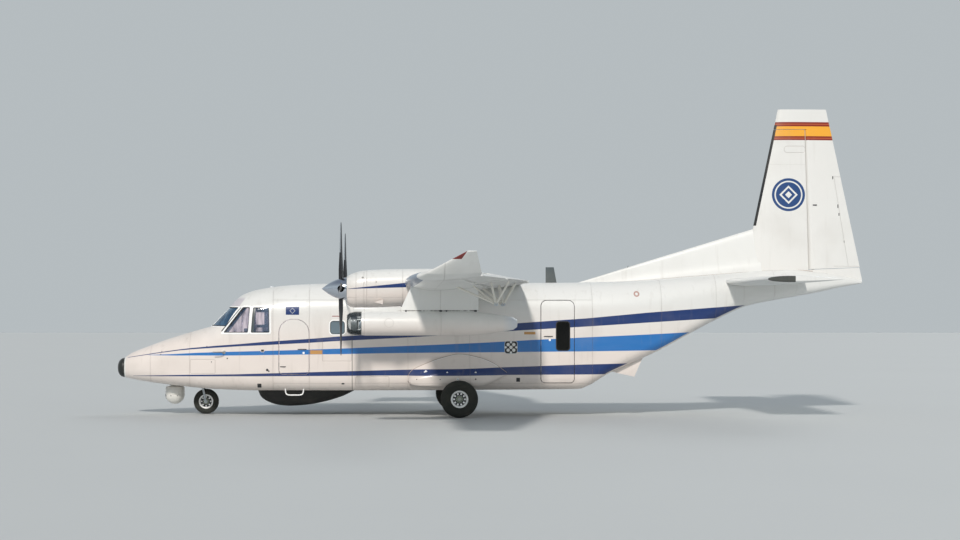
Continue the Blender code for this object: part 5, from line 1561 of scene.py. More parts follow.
def nacelle_ring(x, centre_y, grow=0.0, steps=56):
    _, bottom, top, half_width = nacelle_row(x)
    middle, half_height = (bottom + top) / 2, (top - bottom) / 2
    ring = []
    for step in range(steps):
        angle = tau * step / steps
        squash = (abs(cos(angle)) ** 2.6 + abs(sin(angle)) ** 2.6) ** (-1 / 2.6)
        ring.append((x, centre_y + (half_width + grow) * squash * cos(angle), middle + (half_height + grow)
            * squash * sin(angle)))
    return ring


BLADE = (
    # radius, chord, thickness, pitch
    (0.12, 0.1, 0.085, 50), (0.2, 0.1, 0.08, 46), (0.28, 0.13, 0.056, 38), (0.4, 0.165, 0.04, 31),
    (0.55, 0.19, 0.032, 22), (0.75, 0.205, 0.025, 15), (0.95, 0.21, 0.02, 11), (1.12, 0.2, 0.017, 9),
    (1.25, 0.18, 0.014, 8), (1.32, 0.15, 0.011, 7.5), (1.349, 0.1, 0.008, 7),
)
BLADE_METAL_FROM = 0.7
blade_row = smooth_table(BLADE)


def blade(centre, turn):
    """One propeller blade from the spinner out, twisted along its length."""
    places = spread(0.12, 1.349, 26)
    count = 22
    rings = []
    for radius in places:
        _, chord, thickness, pitch = blade_row(radius)
        angle = radians(pitch)
        ring = []
        for step in range(count):
            t = tau * step / count
            across = -0.5 * chord * cos(t)
            thick = 0.5 * thickness * sin(t) * (1 - 0.35 * cos(pi - t)) * 0.9
            x = across * sin(angle) + thick * cos(angle)
            y = across * cos(angle) - thick * sin(angle)
            ring.append(Matrix.Rotation(turn, 3, "X") @ Vector((x, y, radius)) + centre)
        rings.append(ring)
    metal_row = next(i for i, radius in enumerate(places) if radius > BLADE_METAL_FROM)
    return loft("blade", rings, BLADE_GREY, EDGE_METAL, lambda row,
        i: row >= metal_row and (i < 3 or i >= count - 3))


for tag, side in SIDES:
    centre_y = side * HUB_Y
    nacelle = loft("nacelle",
        [nacelle_ring(x, centre_y) for x in spread(NACELLE[0][0], NACELLE[-1][0], 40)], NACELLE_PAINT)
    combine(nacelle, loft("nacelle_cavity",
        [nacelle_ring(x, centre_y, -0.035) for x in spread(-3.0, -1.6, 8)], DARK_METAL))
    combine(nacelle, wing_cutter)
    intake = [(centre_y + y, z) for y, z in rounded(-0.17, 0.17, 2.395, 2.48, 0.04)]
    combine(nacelle, prism("intake", intake, -3.2, -2.95, FRONT_FRAME, DARK_METAL))
    combine(nacelle, rod("shaft_hole", (-3.2, centre_y, HUB_Z), (-2.9, centre_y, HUB_Z), 0.1, sides=40,
        finish=DARK_METAL))
    fix(nacelle, "nacelle_skin_" + tag, "nacelle_" + tag, sharp=38)
    lip = [Vector((-3.06, u, v)) for u,
        v in [(centre_y + y, z) for y, z in rounded(-0.178, 0.178, 2.388, 2.487, 0.046)]]
    fix(tube("intake_lip", lip, 0.012, EDGE_METAL, closed=True), "intake_lip_" + tag)
    inboard = centre_y - side * 0.2
    front, end = Vector((-2.02, inboard, 2.44)), Vector((-1.64, inboard, 2.3))
    pipe = rod("exhaust", front, end, 0.095, sides=32, finish=DARK_METAL)
    combine(pipe, rod("exhaust_bore", front.lerp(end, 0.45), end.lerp(front, -0.1), 0.084, sides=32,
        finish=PANEL_BLACK))
    fix(pipe, "exhaust_pipe_" + tag)
    outside = centre_y + side * 0.372
    scoop = side_plate("scoop", ((-2.52, 2.405), (-2.33, 2.36), (-2.34, 2.455)),
        *sorted((outside - side * 0.03, outside + side * 0.012)), NACELLE_PAINT)
    fix(scoop, "cooling_scoop_" + tag, bevel=0.004)
    hub = Vector((HUB_X, centre_y, HUB_Z))
    tip = SPINNER_BACK - HUB_X - SPINNER_LENGTH
    profile = [(tip, 0.0)]
    for step in range(1, 25):
        share = step / 24
        profile.append((tip + SPINNER_LENGTH * share, SPINNER_RADIUS * (1 - (1 - share) ** 2.0)))
    profile.append((SPINNER_BACK - HUB_X, 0.0))
    spinner = turned("spinner", profile, hub, X_AXIS, 72, POLISHED)
    for quarter in range(4):
        turn = Matrix.Rotation(quarter * pi / 2, 3, "X")
        combine(spinner, rod("blade_hole", hub + turn @ Vector((0, 0, 0.12)),
            hub + turn @ Vector((0, 0, 0.4)), 0.068, sides=32, finish=PANEL_BLACK))
    show(spinner, "spinner_" + tag, "propeller_" + tag, "propeller_" + tag)
    show(joined("blades", [blade(hub, quarter * pi / 2) for quarter in range(4)]), "blades_" + tag,
        "propeller_" + tag, sharp=50)

# Underwing pods

POD_Y = 4.5
POD_Z = 1.986
POD_PROFILE = smooth_table(((-2.753, 0.226), (-2.7, 0.232), (-0.9, 0.232), (-0.45, 0.212), (-0.1, 0.165),
    (0.08, 0.138), (0.18, 0.115), (0.24, 0.07),))
POD_FACE = -2.753
PYLON_HEIGHTS = (2.15, 2.7)
PYLON_FRONT = -2.052
PYLON_SLANT = 0.252
PYLON_REAR = -0.503
SPINE = ((-2.93, 2.212), (-2.74, 2.212), (-2.74, 2.17), (-2.0, 2.17), (-2.0, 2.29), (-2.9, 2.29))
finish = Finish("pod_paint")
# Warmer towards the bottom: painted warm light bounced up from the ground.
pod_tone = finish.mix(finish.z.below(POD_Z, 0.3), WHITE, WARM_WHITE)
pod_tone = finish.mix(finish.x.above(0.05, 0.2) * 0.7, pod_tone, rgb(206, 212, 220))
gap_line = finish.near(finish.z, (2.232,), 0.016) * finish.x.within(-1.95, -0.49)
gap_line = gap_line * (finish.noise(14.0, 2.0, (1.0, 1.0, 0.0)) - 0.3).maths("MULTIPLY", 4.0, clamp=True)
pod_tone = finish.mix(gap_line * 0.9, pod_tone, rgb(46, 50, 46))
pod_ring = abs((((finish.x + 2.225) * (finish.x + 2.225) + (finish.z - 1.996)
    * (finish.z - 1.996)) .maths("SQRT")) - 0.086)
pod_seams = finish.near(finish.x, (-2.7, -1.23), 0.005)
pod_seams = pod_seams.most((1 - pod_ring.maths("DIVIDE", 0.007, clamp=True)) * 0.6)
pod_seams = pod_seams.most(finish.near(finish.z, (2.236,), 0.008) * finish.x.above(-2.05))
POD_PAINT = aged(finish, pod_tone, pod_seams, 0.2, 0.12)

for tag, side in SIDES:
    centre_y = side * POD_Y
    centre = Vector((0.0, centre_y, POD_Z))
    profile = [(POD_FACE, 0.0)] + [(x, POD_PROFILE(x)[1]) for x in spread(POD_FACE, 0.24, 44)] + [(0.25,
        0.0)]
    pod = turned("pod", profile, centre, X_AXIS, 64, POD_PAINT)
    fix(pod, "pod_skin_" + tag, "pod_" + tag)
    pylon_rings = []
    for z in spread(*PYLON_HEIGHTS, 8):
        share = (z - PYLON_HEIGHTS[0]) / 0.55
        lead, trail = PYLON_FRONT + PYLON_SLANT * share, PYLON_REAR
        ring = []
        for step in range(28):
            t = tau * step / 28
            along = 0.5 - 0.5 * cos(t)
            width = 0.035 * min(1.0, 4.5 * sqrt(max(along * (1 - along), 0.0)) ** 1.2)
            ring.append((lead + (trail - lead) * along, centre_y + copysign(width, sin(t)) if 0 < step != 14
                else centre_y, z))
        pylon_rings.append(ring)
    pylon = loft("pylon", pylon_rings, POD_PAINT)
    combine(pylon, loft("wing_grown", [wing_ring(y, side, SEAT_GAP) for y in (WING_KINK, WING_TIP)],
        POD_PAINT))
    fix(pylon, "pod_pylon_" + tag)
    clamps = []
    for x, width in ((-1.9, 0.03), (-1.23, 0.055), (-1.12, 0.03), (-0.56, 0.05)):
        clamps.append(box("clamp", (x - width / 2, centre_y - 0.046, 2.214),
            (x + width / 2, centre_y + 0.046, 2.244), DARK_METAL))
    fix(joined("clamps", clamps), "pylon_clamps_" + tag, bevel=0.004)
    fix(side_plate("spine", SPINE, centre_y - 0.03, centre_y + 0.03, POD_PAINT), "pod_spine_" + tag,
        bevel=0.012)
    face = Vector((POD_FACE - GAP, centre_y, POD_Z))
    dome = [(0.0, 0.222), (-0.1, 0.222)]
    dome += [(-0.1 - 0.183 * sin(t), 0.15 + 0.072 * cos(t)) for t in angles(12, 1, 13, pi / 2)]
    inner = [(x * 0.97, r - 0.006) for x, r in reversed(dome[1:])]
    profile = dome + [(-0.283, 0.0), (-0.276, 0.0)] + inner + [(0.0, 0.216), (0.0, 0.222)]
    fix(turned("dome", profile, face, X_AXIS, 56, DOME_GLASS), "pod_dome_" + tag, "pod_nose_" + tag)
    lamp = [turned("lamp_base", ((0.0, 0.0), (0.0, 0.19), (-0.015, 0.19), (-0.02, 0.1), (-0.05, 0.1),
        (-0.05, 0.0)), face, X_AXIS, 40, GEAR_METAL),
        turned("lamp_shell", ((-0.07, 0.0), (-0.07, 0.1), (-0.09, 0.155), (-0.19, 0.165), (-0.2, 0.16),
        (-0.198, 0.15), (-0.16, 0.1), (-0.14, 0.0)), face, X_AXIS, 48, STEEL),
        ball("lamp_bulb", face + Vector((-0.155, 0.0, 0.0)), 0.035, 14, CLEAR_LENS)]
    for angle in (35, 145, 250):
        off = Vector((0.0, cos(radians(angle)), sin(radians(angle))))
        lamp.append(rod("motor", face + off * 0.125 + X_AXIS * -0.02, face + off * 0.125 + X_AXIS * -0.09,
            0.03, finish=STEEL))
        lamp.append(rod("stay", face + off * 0.1, face + off * 0.158 + X_AXIS * -0.1, 0.009, finish=STEEL))
    lamp.append(tube("lamp_rim",
        [face + Vector((-0.196, 0.16 * cos(t), 0.16 * sin(t))) for t in angles(36)], 0.008, STEEL,
        closed=True))
    fix(joined("lamp", lamp), "pod_searchlight_" + tag, "pod_lamp_" + tag)
    hoop = [face + Vector((-0.004, 0.222 * cos(t), 0.222 * sin(t))) for t in angles(48)]
    fix(tube("dome_ring", hoop, 0.007, STEEL, closed=True), "pod_dome_ring_" + tag)

# Landing gear

SPONSON = (
    # x, bottom, top, outer_y, upper_y
    (-1.808, 0.76, 0.84, 1.16, 1.14), (-1.74, 0.67, 0.96, 1.29, 1.15),
    (-1.5, 0.63, 1.09, 1.37, 1.16),
    (-1.1, 0.627, 1.24, 1.39, 1.18), (-0.72, 0.627, 1.32, 1.39, 1.19),
    (-0.3, 0.64, 1.25, 1.37, 1.18),
    (0.0, 0.74, 1.13, 1.29, 1.16), (0.29, 0.88, 0.93, 1.155, 1.14),
)
sponson_row = smooth_table(SPONSON)
MAIN_WHEEL = Vector((-0.735, 1.55, 0.39))


def sponson_ring(x, side):
    _, bottom, top, outer, upper = sponson_row(x)
    middle = bottom + 0.45 * (top - bottom)
    points = [(outer - 0.2, bottom), (outer - 0.1, bottom),
        (outer - 0.012, bottom + 0.2 * (middle - bottom)), (outer, middle),
        (upper + 0.42 * (outer - upper), middle + 0.52 * (top - middle)), (upper, top)]
    smooth = bent([Vector((y, z, 0.0)) for y, z in points], 5)
    ring = [(1.0, bottom)] + [(v.x, v.y) for v in smooth] + [(1.0, top)]
    return [(x, side * y, z) for y, z in ring]


def sponson_spot(x, z, side):
    """The place on a sponson's outside at a height."""
    ring = sponson_ring(x, side)[1:-1]
    for (_, y_low, z_low), (_, y_high, z_high) in zip(ring, ring[1:]):
        if z_low < z <= z_high:
            return Vector((x, y_low + (y_high - y_low) * (z - z_low) / (z_high - z_low), z))
    return Vector((x, ring[-1][1], z))


def wheel_profile(radius, half_width, rim_radius):
    """A tyre with a round tread, grooves and bulging side walls."""
    deep = radius - rim_radius
    side = [(half_width * 0.8, rim_radius - 0.004), (half_width * 0.9, rim_radius + 0.02 * deep),
        (half_width * 0.985, rim_radius + 0.22 * deep), (half_width, rim_radius + 0.45 * deep),
        (half_width * 0.96, rim_radius + 0.66 * deep), (half_width * 0.84, rim_radius + 0.85 * deep),
        (half_width * 0.68, rim_radius + 0.955 * deep), (half_width * 0.52, rim_radius + 0.985 * deep)]
    tread = []
    for groove in (0.4, 0.13, -0.13, -0.4):
        crown = rim_radius + deep * (1 - 0.02 * (groove / 0.5) ** 2)
        tread += [(half_width * (groove + 0.035), crown), (half_width * (groove + 0.025), crown - 0.007),
            (half_width * (groove - 0.025), crown - 0.007), (half_width * (groove - 0.035), crown)]
    left = [(-along, r) for along, r in reversed(side)]
    return side + tread + left + [side[0]]


def wheel(name, centre, radius, half_width, rim_radius, bore, body, holes=10):
    tyre = turned("tyre", wheel_profile(radius, half_width, rim_radius), centre, Y_AXIS, 96, TYRE_RUBBER)
    show(tyre, name + "_tyre_skin", body, name + "_tyre", sharp=40)
    rim = rim_radius - GAP - 0.004
    dish = 0.55 * half_width
    profile = ((-half_width * 0.88, rim * 0.9), (-half_width * 0.92, rim * 0.96), (-half_width * 0.88, rim),
        (half_width * 0.88, rim), (half_width * 0.92, rim * 0.96), (half_width * 0.88, rim * 0.9),
        (half_width * 0.8, rim * 0.84), (dish * 1.1, rim * 0.78), (dish * 0.7, rim * 0.76),
        (dish * 0.7, bore), (-dish * 0.7, bore), (-dish * 0.7, rim * 0.76), (-dish * 1.1, rim * 0.78),
        (-half_width * 0.8, rim * 0.84), (-half_width * 0.88, rim * 0.9),)
    rim_shapes = [turned("rim", profile, centre, Y_AXIS, 80, RIM_WHITE)]
    for face in (-1, 1):
        web = ((0.8 * dish, bore), (0.8 * dish, rim * 0.79), (0.97 * dish, rim * 0.79), (0.97 * dish, bore),
            (0.8 * dish, bore))
        rim_shapes.append(turned("web", web, centre, Y_AXIS * face, 64, DARK_METAL))
        for k in range(holes):
            angle = tau * k / holes
            radial = Vector((cos(angle), 0.0, sin(angle)))
            pad = Matrix((radial, Y_AXIS.cross(radial), Y_AXIS)).transposed().to_4x4()
            pad.translation = centre + radial * rim * 0.625
            outline = eased([(-0.115 * rim, -0.085 * rim), (0.115 * rim, -0.105 * rim),
                (0.115 * rim, 0.105 * rim), (-0.115 * rim, 0.085 * rim)], 0.05 * rim, 3)
            rim_shapes.append(prism("pad", outline, *sorted((face * 0.9 * dish, face * 1.06 * dish)), pad,
                RIM_WHITE))
    show(joined("rim", rim_shapes), name + "_rim_skin", body, name + "_rim", sharp=38)
    bolts = []
    for k in range(holes):
        angle = tau * (k + 0.5) / holes
        off = Vector((cos(angle), 0.0, sin(angle))) * rim * 0.44
        for face in (-1, 1):
            at = centre + off + Y_AXIS * face * dish * 0.95
            bolts.append(rod("bolt", at, at + Y_AXIS * face * 0.01, 0.007, sides=6, finish=STEEL))
    for face in (-1, 1):
        at = centre + Y_AXIS * face * dish * 0.94
        cap = turned("cap", ((0.0, bore + 0.001), (0.0, rim * 0.4), (0.012, rim * 0.385),
            (0.022, rim * 0.3), (0.03, rim * 0.22), (0.03, bore + 0.001), (0.0, bore + 0.001)), at,
            Y_AXIS * face, 40, HUB_GREEN)
        bolts.append(cap)
    show(joined("hub", bolts), name + "_hub_caps", body)


for tag, side in SIDES:
    sponson = loft("sponson", [sponson_ring(x, side) for x in spread(SPONSON[0][0], SPONSON[-1][0], 44)],
        AIRFRAME)
    combine(sponson, fuselage_outer)
    fix(sponson, "sponson_skin_" + tag, "sponson_" + tag)
    # A darker line along the blister's join with the skin: painted shade in the crease.
    edge = []
    for x in spread(-1.8, 0.285, 40):
        _, bottom, top, _, upper = sponson_row(x)
        edge.append((x, side * (upper + 0.001), top + 0.001))
    lower_edge = [(x, side * (skin_y(x, sponson_row(x)[1]) + 0.006), sponson_row(x)[1])
        for x in spread(-1.8, -1.2, 12)]
    fix(tube("edge", lower_edge[::-1] + edge, 0.0055, CREASE_SHADE_PAINT), "sponson_edge_" + tag)
    # A raised bead under the blister's top, in a white brighter than the skin: a real bead with a painted
    # highlight.
    bead = [(x, side * (sponson_row(x)[4] + 0.006), sponson_row(x)[2] - 0.012) for x in spread(-1.3, 0.1,
        28)]
    fix(tube("bead", bead, 0.006, RIM_WHITE), "sponson_bead_" + tag)
    marks = []
    for x, z, size, finish, sides in ((-1.427, 0.948, 0.044, RIM_WHITE, 4),
            (-0.98, 0.94, 0.02, RIM_WHITE, 4), (-0.385, 0.938, 0.02, RIM_WHITE, 16),
            (-0.76, 0.8, 0.026, RIM_WHITE, 20), (-0.76, 0.8, 0.014, GEAR_METAL, 20),
            (-0.385, 0.8, 0.02, DARK_METAL, 4), (-1.13, 0.795, 0.01, DARK_METAL, 12),
            (-1.62, 0.795, 0.01, DARK_METAL, 12)):
        spot = sponson_spot(x, z, side)
        proud = Y_AXIS * side * (0.005 if finish == GEAR_METAL else 0.003)
        marks.append(rod("mark", spot - Y_AXIS * side * 0.03, spot + proud, size, size, sides, finish))
    fix(joined("marks", marks), "sponson_fittings_" + tag)
    centre = Vector((MAIN_WHEEL.x, side * MAIN_WHEEL.y, MAIN_WHEEL.z))
    top = Vector((centre.x, side * 1.28, 0.627 - GAP))
    foot = Vector((centre.x, side * 1.33, centre.z))
    legs = [rod("leg", top, foot.lerp(top, 0.35), 0.05, 0.05, 32, GEAR_METAL),
        rod("piston", top, foot, 0.036, 0.036, 32, STEEL), rod("axle", (centre.x, side * 1.29, centre.z),
        (centre.x, side * 1.618, centre.z), 0.0318, None, 32, STEEL),
        rod("knee", foot + Z_AXIS * 0.05, foot - Z_AXIS * 0.05, 0.052, 0.052, 32, GEAR_METAL)]
    for rise in (0.0, 0.09):
        legs.append(rod("link", foot + Vector((0.045, 0, 0.02 + rise)),
            foot + Vector((0.115, 0, 0.065 + 0.2 * rise)), 0.011, None, 12, GEAR_METAL))
    fix(joined("main_leg", legs), "main_leg_" + tag, "main_gear_leg_" + tag, sharp=35)
    hose = bent([top + Vector((-0.05, 0, -0.02)), top + Vector((-0.075, 0, -0.1)),
        foot + Vector((-0.055, 0, 0.03))])
    fix(tube("brake_pipe", hose, 0.006, PANEL_BLACK), "brake_pipe_" + tag)
    wheel("main_wheel_" + tag, centre, 0.39, 0.13, 0.186, 0.034, "main_wheel_" + tag)

NOSE_WHEEL = Vector((-6.155, 0.0, 0.272))
NOSE_LEG_TOP = Vector((-6.245, 0.0, 0.7))
NOSE_SLANT = (NOSE_LEG_TOP - NOSE_WHEEL).normalized()
STEER_JOINT = NOSE_WHEEL + NOSE_SLANT * 0.345
FORK_HALF = 0.135


def along_leg(distance):
    return NOSE_WHEEL + NOSE_SLANT * distance


upper_leg = rod("upper_leg", STEER_JOINT + NOSE_SLANT * GAP, along_leg(0.42), 0.055, sides=36,
    finish=GEAR_METAL)
combine(upper_leg, fuselage_cavity)
fix(upper_leg, "nose_leg", "nose_gear_leg", bevel=0.003)
crown = along_leg(0.307)
fork = [rod("fork_stem", STEER_JOINT, along_leg(0.29), 0.05, sides=32, finish=GEAR_METAL),
    rod("fork_crown", crown - Y_AXIS * 0.14, crown + Y_AXIS * 0.14, 0.022, sides=24, finish=GEAR_METAL),
    rod("nose_axle", NOSE_WHEEL - Y_AXIS * 0.15, NOSE_WHEEL + Y_AXIS * 0.15, 0.018, sides=24, finish=STEEL)]
for side in (-1, 1):
    foot = NOSE_WHEEL + Y_AXIS * side * FORK_HALF
    fork.append(rod("fork_arm", crown + Y_AXIS * side * FORK_HALF, foot, 0.026, 0.022, 24, GEAR_METAL))
    fork.append(rod("fork_lug", foot - Y_AXIS * 0.012, foot + Y_AXIS * 0.012, 0.036, None, 24, GEAR_METAL))
show(joined("fork", fork), "nose_fork_arms", "nose_fork", "nose_fork", sharp=35)
wheel("nose_wheel", NOSE_WHEEL, 0.272, 0.095, 0.16, 0.0195, "nose_wheel", 8)

# Sensor ball and belly equipment

TURRET_RADIUS = 0.207
housing = [(-0.207, 0.0)]
housing += [(-TURRET_RADIUS * cos(t), TURRET_RADIUS * sin(t)) for t in angles(16, 1, 17, pi / 2)]
housing += [(0.12, 0.2065), (0.15, 0.203), (0.17, 0.192), (0.18, 0.165), (0.183, 0.11),
    (TURRET_NECK - TURRET.z, 0.1), (TURRET_NECK - TURRET.z, 0.0)]
finish = Finish("turret_paint")
turret_seams = finish.near(finish.z, (0.432, 0.545), 0.005)
turret_seams = turret_seams.most(finish.near(finish.y, (-0.09, 0.09), 0.004) * finish.z.below(0.432))
TURRET_PAINT = aged(finish, rgb(222, 220, 214), turret_seams, 0.2, 0.1)
show(turned("turret", housing, TURRET, Z_AXIS, 72, TURRET_PAINT), "sensor_ball", "sensor_turret",
    "sensor_turret")
lenses = []
for angle, height, size in ((178, -0.05, 0.052), (150, -0.03, 0.03), (205, -0.02, 0.024)):
    turn = radians(angle)
    flat = sqrt(TURRET_RADIUS ** 2 - height ** 2)
    out = Vector((cos(turn) * flat, sin(turn) * flat, height))
    lenses.append(rod("lens_ring", TURRET + out * 0.93, TURRET + out * 0.998, size, size * 0.92, 32,
        DARK_METAL))
    lenses.append(rod("lens_glass", TURRET + out * 0.94, TURRET + out * 0.999, size * 0.8, size * 0.75, 32,
        SCREEN))
for angle in (-70, -110):
    turn = radians(angle)
    out = Vector((cos(turn), sin(turn), -0.1)).normalized() * TURRET_RADIUS
    lenses.append(rod("screw", TURRET + out * 0.98, TURRET + out * 0.999, 0.014, 0.012, 16, DARK_METAL))
for side in (-1, 1):
    lenses.append(turned("trunnion", ((0.15, 0.0), (0.15, 0.092), (0.188, 0.092), (0.196, 0.084),
        (0.199, 0.0)), TURRET + Z_AXIS * 0.055, Y_AXIS * side, 48, TURRET_PAINT))
show(joined("lenses", lenses), "sensor_lenses", "sensor_turret", sharp=30)

RADOME = smooth_table((
    # x, depth, half_width
    (-5.03, 0.03, 0.12), (-4.98, 0.15, 0.32), (-4.85, 0.26, 0.47), (-4.6, 0.345, 0.58),
    (-4.35, 0.37, 0.62), (-4.0, 0.35, 0.6), (-3.6, 0.28, 0.52), (-3.2, 0.16, 0.38),
    (-2.93, 0.03, 0.15),
))
radome_rings = []
for x in spread(-5.03, -2.93, 34, (-4.98, -4.93)):
    _, depth, half_width = RADOME(x)
    radome_rings.append([(x, half_width * cos(t), 0.56 - (depth + 0.015) * sin(t)) for t in angles(32, 0,
        33, pi)])
fix(combine(loft("radome", radome_rings, RADOME_BLACK), fuselage_outer), "radome_skin", "belly_radome",
    sharp=45)

# Cockpit interior

COCKPIT_FLOOR = 0.85
PANEL_X = -5.96
SEAT = {"x": -5.25, "y": 0.48, "width": 0.46, "depth": 0.48, "height": 0.36, "back": 0.62}
cockpit_space = fuselage_solid("cockpit_space", CAVITY[0] + GAP, COCKPIT_END, -WALL - GAP, COCKPIT_GREY,
    0.2)
floor = box("cockpit_floor", (CAVITY[0] - 0.1, -1.2, 0.5), (COCKPIT_END, 1.2, COCKPIT_FLOOR), FLOOR_MAT)
combine(floor, cockpit_space, "INTERSECT")
fix(floor, "cockpit_floor_mat", "cockpit_floor")
panel_space = fuselage_solid("panel_space", -6.25, -5.5, -WALL - 0.003, PANEL_BLACK, 0.1)
panel = box("panel", (PANEL_X - 0.12, -0.8, 1.3), (PANEL_X, 0.8, 1.95), PANEL_BLACK)
hood = side_plate("hood", ((-6.07, 1.86), (-5.9, 1.83), (-5.88, 1.85), (-6.06, 1.96)), -0.78, 0.78,
    PANEL_BLACK)
combine(panel, hood, "UNION")
combine(panel, side_plate("pedestal", ((-6.01, 0.8503), (-5.61, 0.8503), (-5.61, 1.22), (-5.72, 1.36),
    (-6.01, 1.4)), -0.14, 0.14, COCKPIT_GREY), "UNION")
combine(panel, panel_space, "INTERSECT")
fix(panel, "instrument_board", "instrument_panel", bevel=0.006)
instruments = []
for y in (-0.58, -0.36, -0.11, 0.11, 0.36, 0.58):
    instruments.append(box("screen", (PANEL_X - 0.01, y - 0.085, 1.56), (PANEL_X + 0.004, y + 0.085, 1.76),
        SCREEN))
    instruments.append(tube("screen_edge",
        [(PANEL_X + 0.004, y + dy, z) for dy, z in ((-0.09, 1.555), (0.09, 1.555), (0.09, 1.765),
        (-0.09, 1.765))], 0.006, DARK_METAL, 6, True))
    for z in (1.42, 1.5):
        instruments.append(rod("dial", (PANEL_X - 0.01, y, z), (PANEL_X + 0.008, y, z), 0.032, 0.03, 20,
            CLEAR_LENS))
for y in (-0.075, -0.025, 0.025, 0.075):
    instruments.append(rod("lever", (-5.78, y, 1.3), (-5.83, y, 1.47), 0.007, 0.006, 10, STEEL))
    instruments.append(ball("lever_knob", (-5.832, y, 1.475), 0.017, 8, PANEL_BLACK))
fix(joined("instruments", instruments), "instruments")


def cushion(name, low, high, crown, channels, finish):
    """A crowned pad: its top swells between sewn channels, and its sides pull in at the corners."""
    bm = bmesh.new()
    bmesh.ops.create_grid(bm, x_segments=28, y_segments=28, size=0.5)
    top = {}
    bottom = {}
    for vert in bm.verts[:]:
        u, v = vert.co.x * 2, vert.co.y * 2
        pinch = 1 - 0.045 * (u * u * v * v) ** 2
        rim = (1 - u ** 6) * (1 - v ** 6)
        swell = crown * max(rim, 0.0) ** 0.6
        for place in channels:
            swell -= 0.35 * crown * exp(-((v - place) / 0.05) ** 2) * max(rim, 0.0) ** 0.3
        across = 0.5 * (1 - 0.06 * (1 - max(rim, 0.0) ** 0.5)) * pinch
        top[vert] = (u * across, v * across, swell)
        bottom[vert] = (u * across * 0.985, v * across * 0.985, 0.0)
    size = Vector(high) - Vector(low)
    middle = (Vector(high) + Vector(low)) / 2
    made = bmesh.new()

    def vertex(point):
        x, y, z = point
        share = z / crown if crown else 0.0
        return made.verts.new((middle.x + x * size.x, middle.y + y * size.y,
            low[2] + size.z * (0.62 + 0.38 * share)))
    tops = {vert: vertex(point) for vert, point in top.items()}
    bottoms = {vert: made.verts.new((middle.x + x * size.x, middle.y + y * size.y, low[2])) for vert,
        (x, y, _) in bottom.items()}
    for face in bm.faces:
        made.faces.new([tops[vert] for vert in face.verts])
        made.faces.new([bottoms[vert] for vert in reversed(face.verts)])
    for edge in bm.edges:
        if edge.is_boundary:
            first, second = edge.verts
            made.faces.new((tops[first], tops[second], bottoms[second], bottoms[first]))
    bm.free()
    return from_bmesh(name, made, finish)


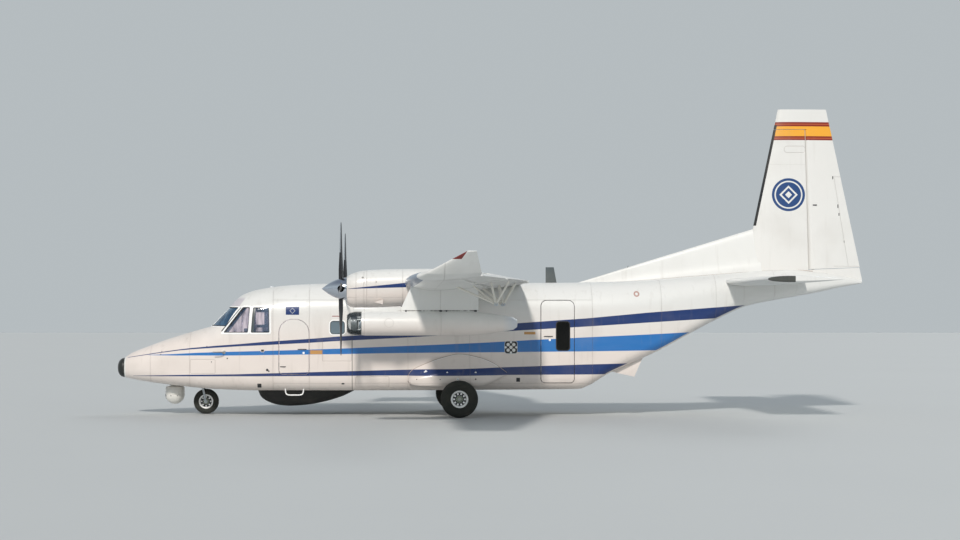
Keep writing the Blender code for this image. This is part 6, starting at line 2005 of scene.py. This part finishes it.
fabric = Finish("seat_fabric")
weave = fabric.node("TexWave", {"bands_direction": "X"}, Vector=fabric.place, Scale=160.0, Distortion=1.0)
cross = fabric.node("TexWave", {"bands_direction": "Y"}, Vector=fabric.place, Scale=160.0, Distortion=1.0)
weave_height = weave * cross
fabric_tone = fabric.mix(weave_height * 0.6, rgb(46, 56, 74), rgb(78, 90, 112))
fabric_tone = fabric.mix((fabric.noise(7.0, 4.0) - 0.5).maths("MULTIPLY", 2.0, clamp=True) * 0.4,
    fabric_tone, rgb(104, 108, 116))
SEAT_FABRIC = fabric.done(fabric_tone, 0.86, height=weave_height, depth=0.0015)
for tag, side in SIDES:
    x, y = SEAT["x"], side * SEAT["y"]
    half = SEAT["width"] / 2
    top = COCKPIT_FLOOR + SEAT["height"]
    depth = SEAT["depth"] / 2
    shell = [box("pan", (x - depth, y - half, top - 0.1), (x + depth, y + half, top - 0.07), COCKPIT_GREY),
        box("back", (x + depth - 0.03, y - half, top - 0.08), (x + depth, y + half, top + 0.56),
        COCKPIT_GREY), box("base", (x - 0.16, y - 0.16, COCKPIT_FLOOR + GAP),
        (x + 0.16, y + 0.16, COCKPIT_FLOOR + 0.05), COCKPIT_GREY)]
    for dx in (-0.13, 0.13):
        for dy in (-0.13, 0.13):
            shell.append(rod("post", (x + dx, y + dy, COCKPIT_FLOOR + 0.04),
                (x + dx * 0.9, y + dy * 0.9, top - 0.09), 0.014, None, 12, STEEL))
    for dy in (-0.215, 0.215):
        shell.append(tube("arm_rest",
            bent([(x + depth - 0.02, y + dy, top + 0.19), (x + 0.02, y + dy, top + 0.2),
            (x - 0.1, y + dy, top + 0.19)]), 0.014, PANEL_BLACK))
    fix(joined("seat_shell", shell), "seat_shell_" + tag, "pilot_seat_" + tag, bevel=0.004)
    pad = cushion("seat_cushion", (x - depth + 0.005, y - half + 0.01, top - 0.069),
        (x + depth - 0.035, y + half - 0.01, top), 0.04, (-0.5, 0.0, 0.5), SEAT_FABRIC)
    fix(pad, "seat_cushion_" + tag, sharp=60)
    rest = cushion("back_cushion", (-0.24, -half + 0.01, 0.0), (0.24, half - 0.01, 0.065), 0.04,
        (-0.55, 0.0, 0.55), SEAT_FABRIC)
    upright = Matrix(((0, 0, -1, x + depth - 0.031), (0, 1, 0, y), (1, 0, 0, top + 0.285), (0, 0, 0, 1)))
    rest.data.transform(upright)
    fix(rest, "back_cushion_" + tag, sharp=60)
    head = cushion("head_cushion", (-0.055, -0.13, 0.0), (0.055, 0.13, 0.06), 0.03, (), SEAT_FABRIC)
    head.data.transform(Matrix(((0, 0, -1, x + depth - 0.02), (0, 1, 0, y), (1, 0, 0, top + 0.565),
        (0, 0, 0, 1))))
    fix(head, "head_cushion_" + tag, sharp=60)
    yoke = [tube("column", bent([(x - 0.52, y, COCKPIT_FLOOR), (x - 0.51, y, 1.2), (x - 0.5, y, 1.42),
        (x - 0.44, y, 1.5)]), 0.02, PANEL_BLACK),
        tube("grip", bent([(x - 0.44, y - 0.16, 1.6), (x - 0.44, y - 0.13, 1.51), (x - 0.44, y, 1.495),
        (x - 0.44, y + 0.13, 1.51), (x - 0.44, y + 0.16, 1.6)]), 0.015, PANEL_BLACK),
        rod("column_boot", (x - 0.52, y, COCKPIT_FLOOR), (x - 0.52, y, COCKPIT_FLOOR + 0.05), 0.06, 0.03,
        24, BOOT_BLACK)]
    fix(joined("yoke", yoke), "control_yoke_" + tag)

# Engines, seen at the intake and when the part is opened

for tag, side in SIDES:
    centre_y = side * HUB_Y
    core = [rod("core", (-2.9, centre_y, ENGINE_Z), (-1.96, centre_y, ENGINE_Z), 0.19, 0.16, 40,
        DARK_METAL), rod("gearbox", (-3.055, centre_y, HUB_Z), (-2.85, centre_y, HUB_Z), GEARBOX_RADIUS,
        None, 36, STEEL), rod("shaft", (SHAFT_FRONT, centre_y, HUB_Z), (-2.95, centre_y, HUB_Z), 0.06, None,
        28, STEEL)]
    for x in (-2.8, -2.55, -2.3, -2.05):
        core.append(rod("flange", (x, centre_y, ENGINE_Z), (x + 0.02, centre_y, ENGINE_Z), 0.199, None, 40,
            STEEL))
    fix(joined("engine", core), "engine_core_" + tag, "engine_" + tag)

FLOOR_HALF = 160.0
fix(box("studio_floor", (-FLOOR_HALF, -FLOOR_HALF, -0.2), (FLOOR_HALF, FLOOR_HALF, 0.0), STUDIO),
    "studio_floor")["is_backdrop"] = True

low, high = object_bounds()
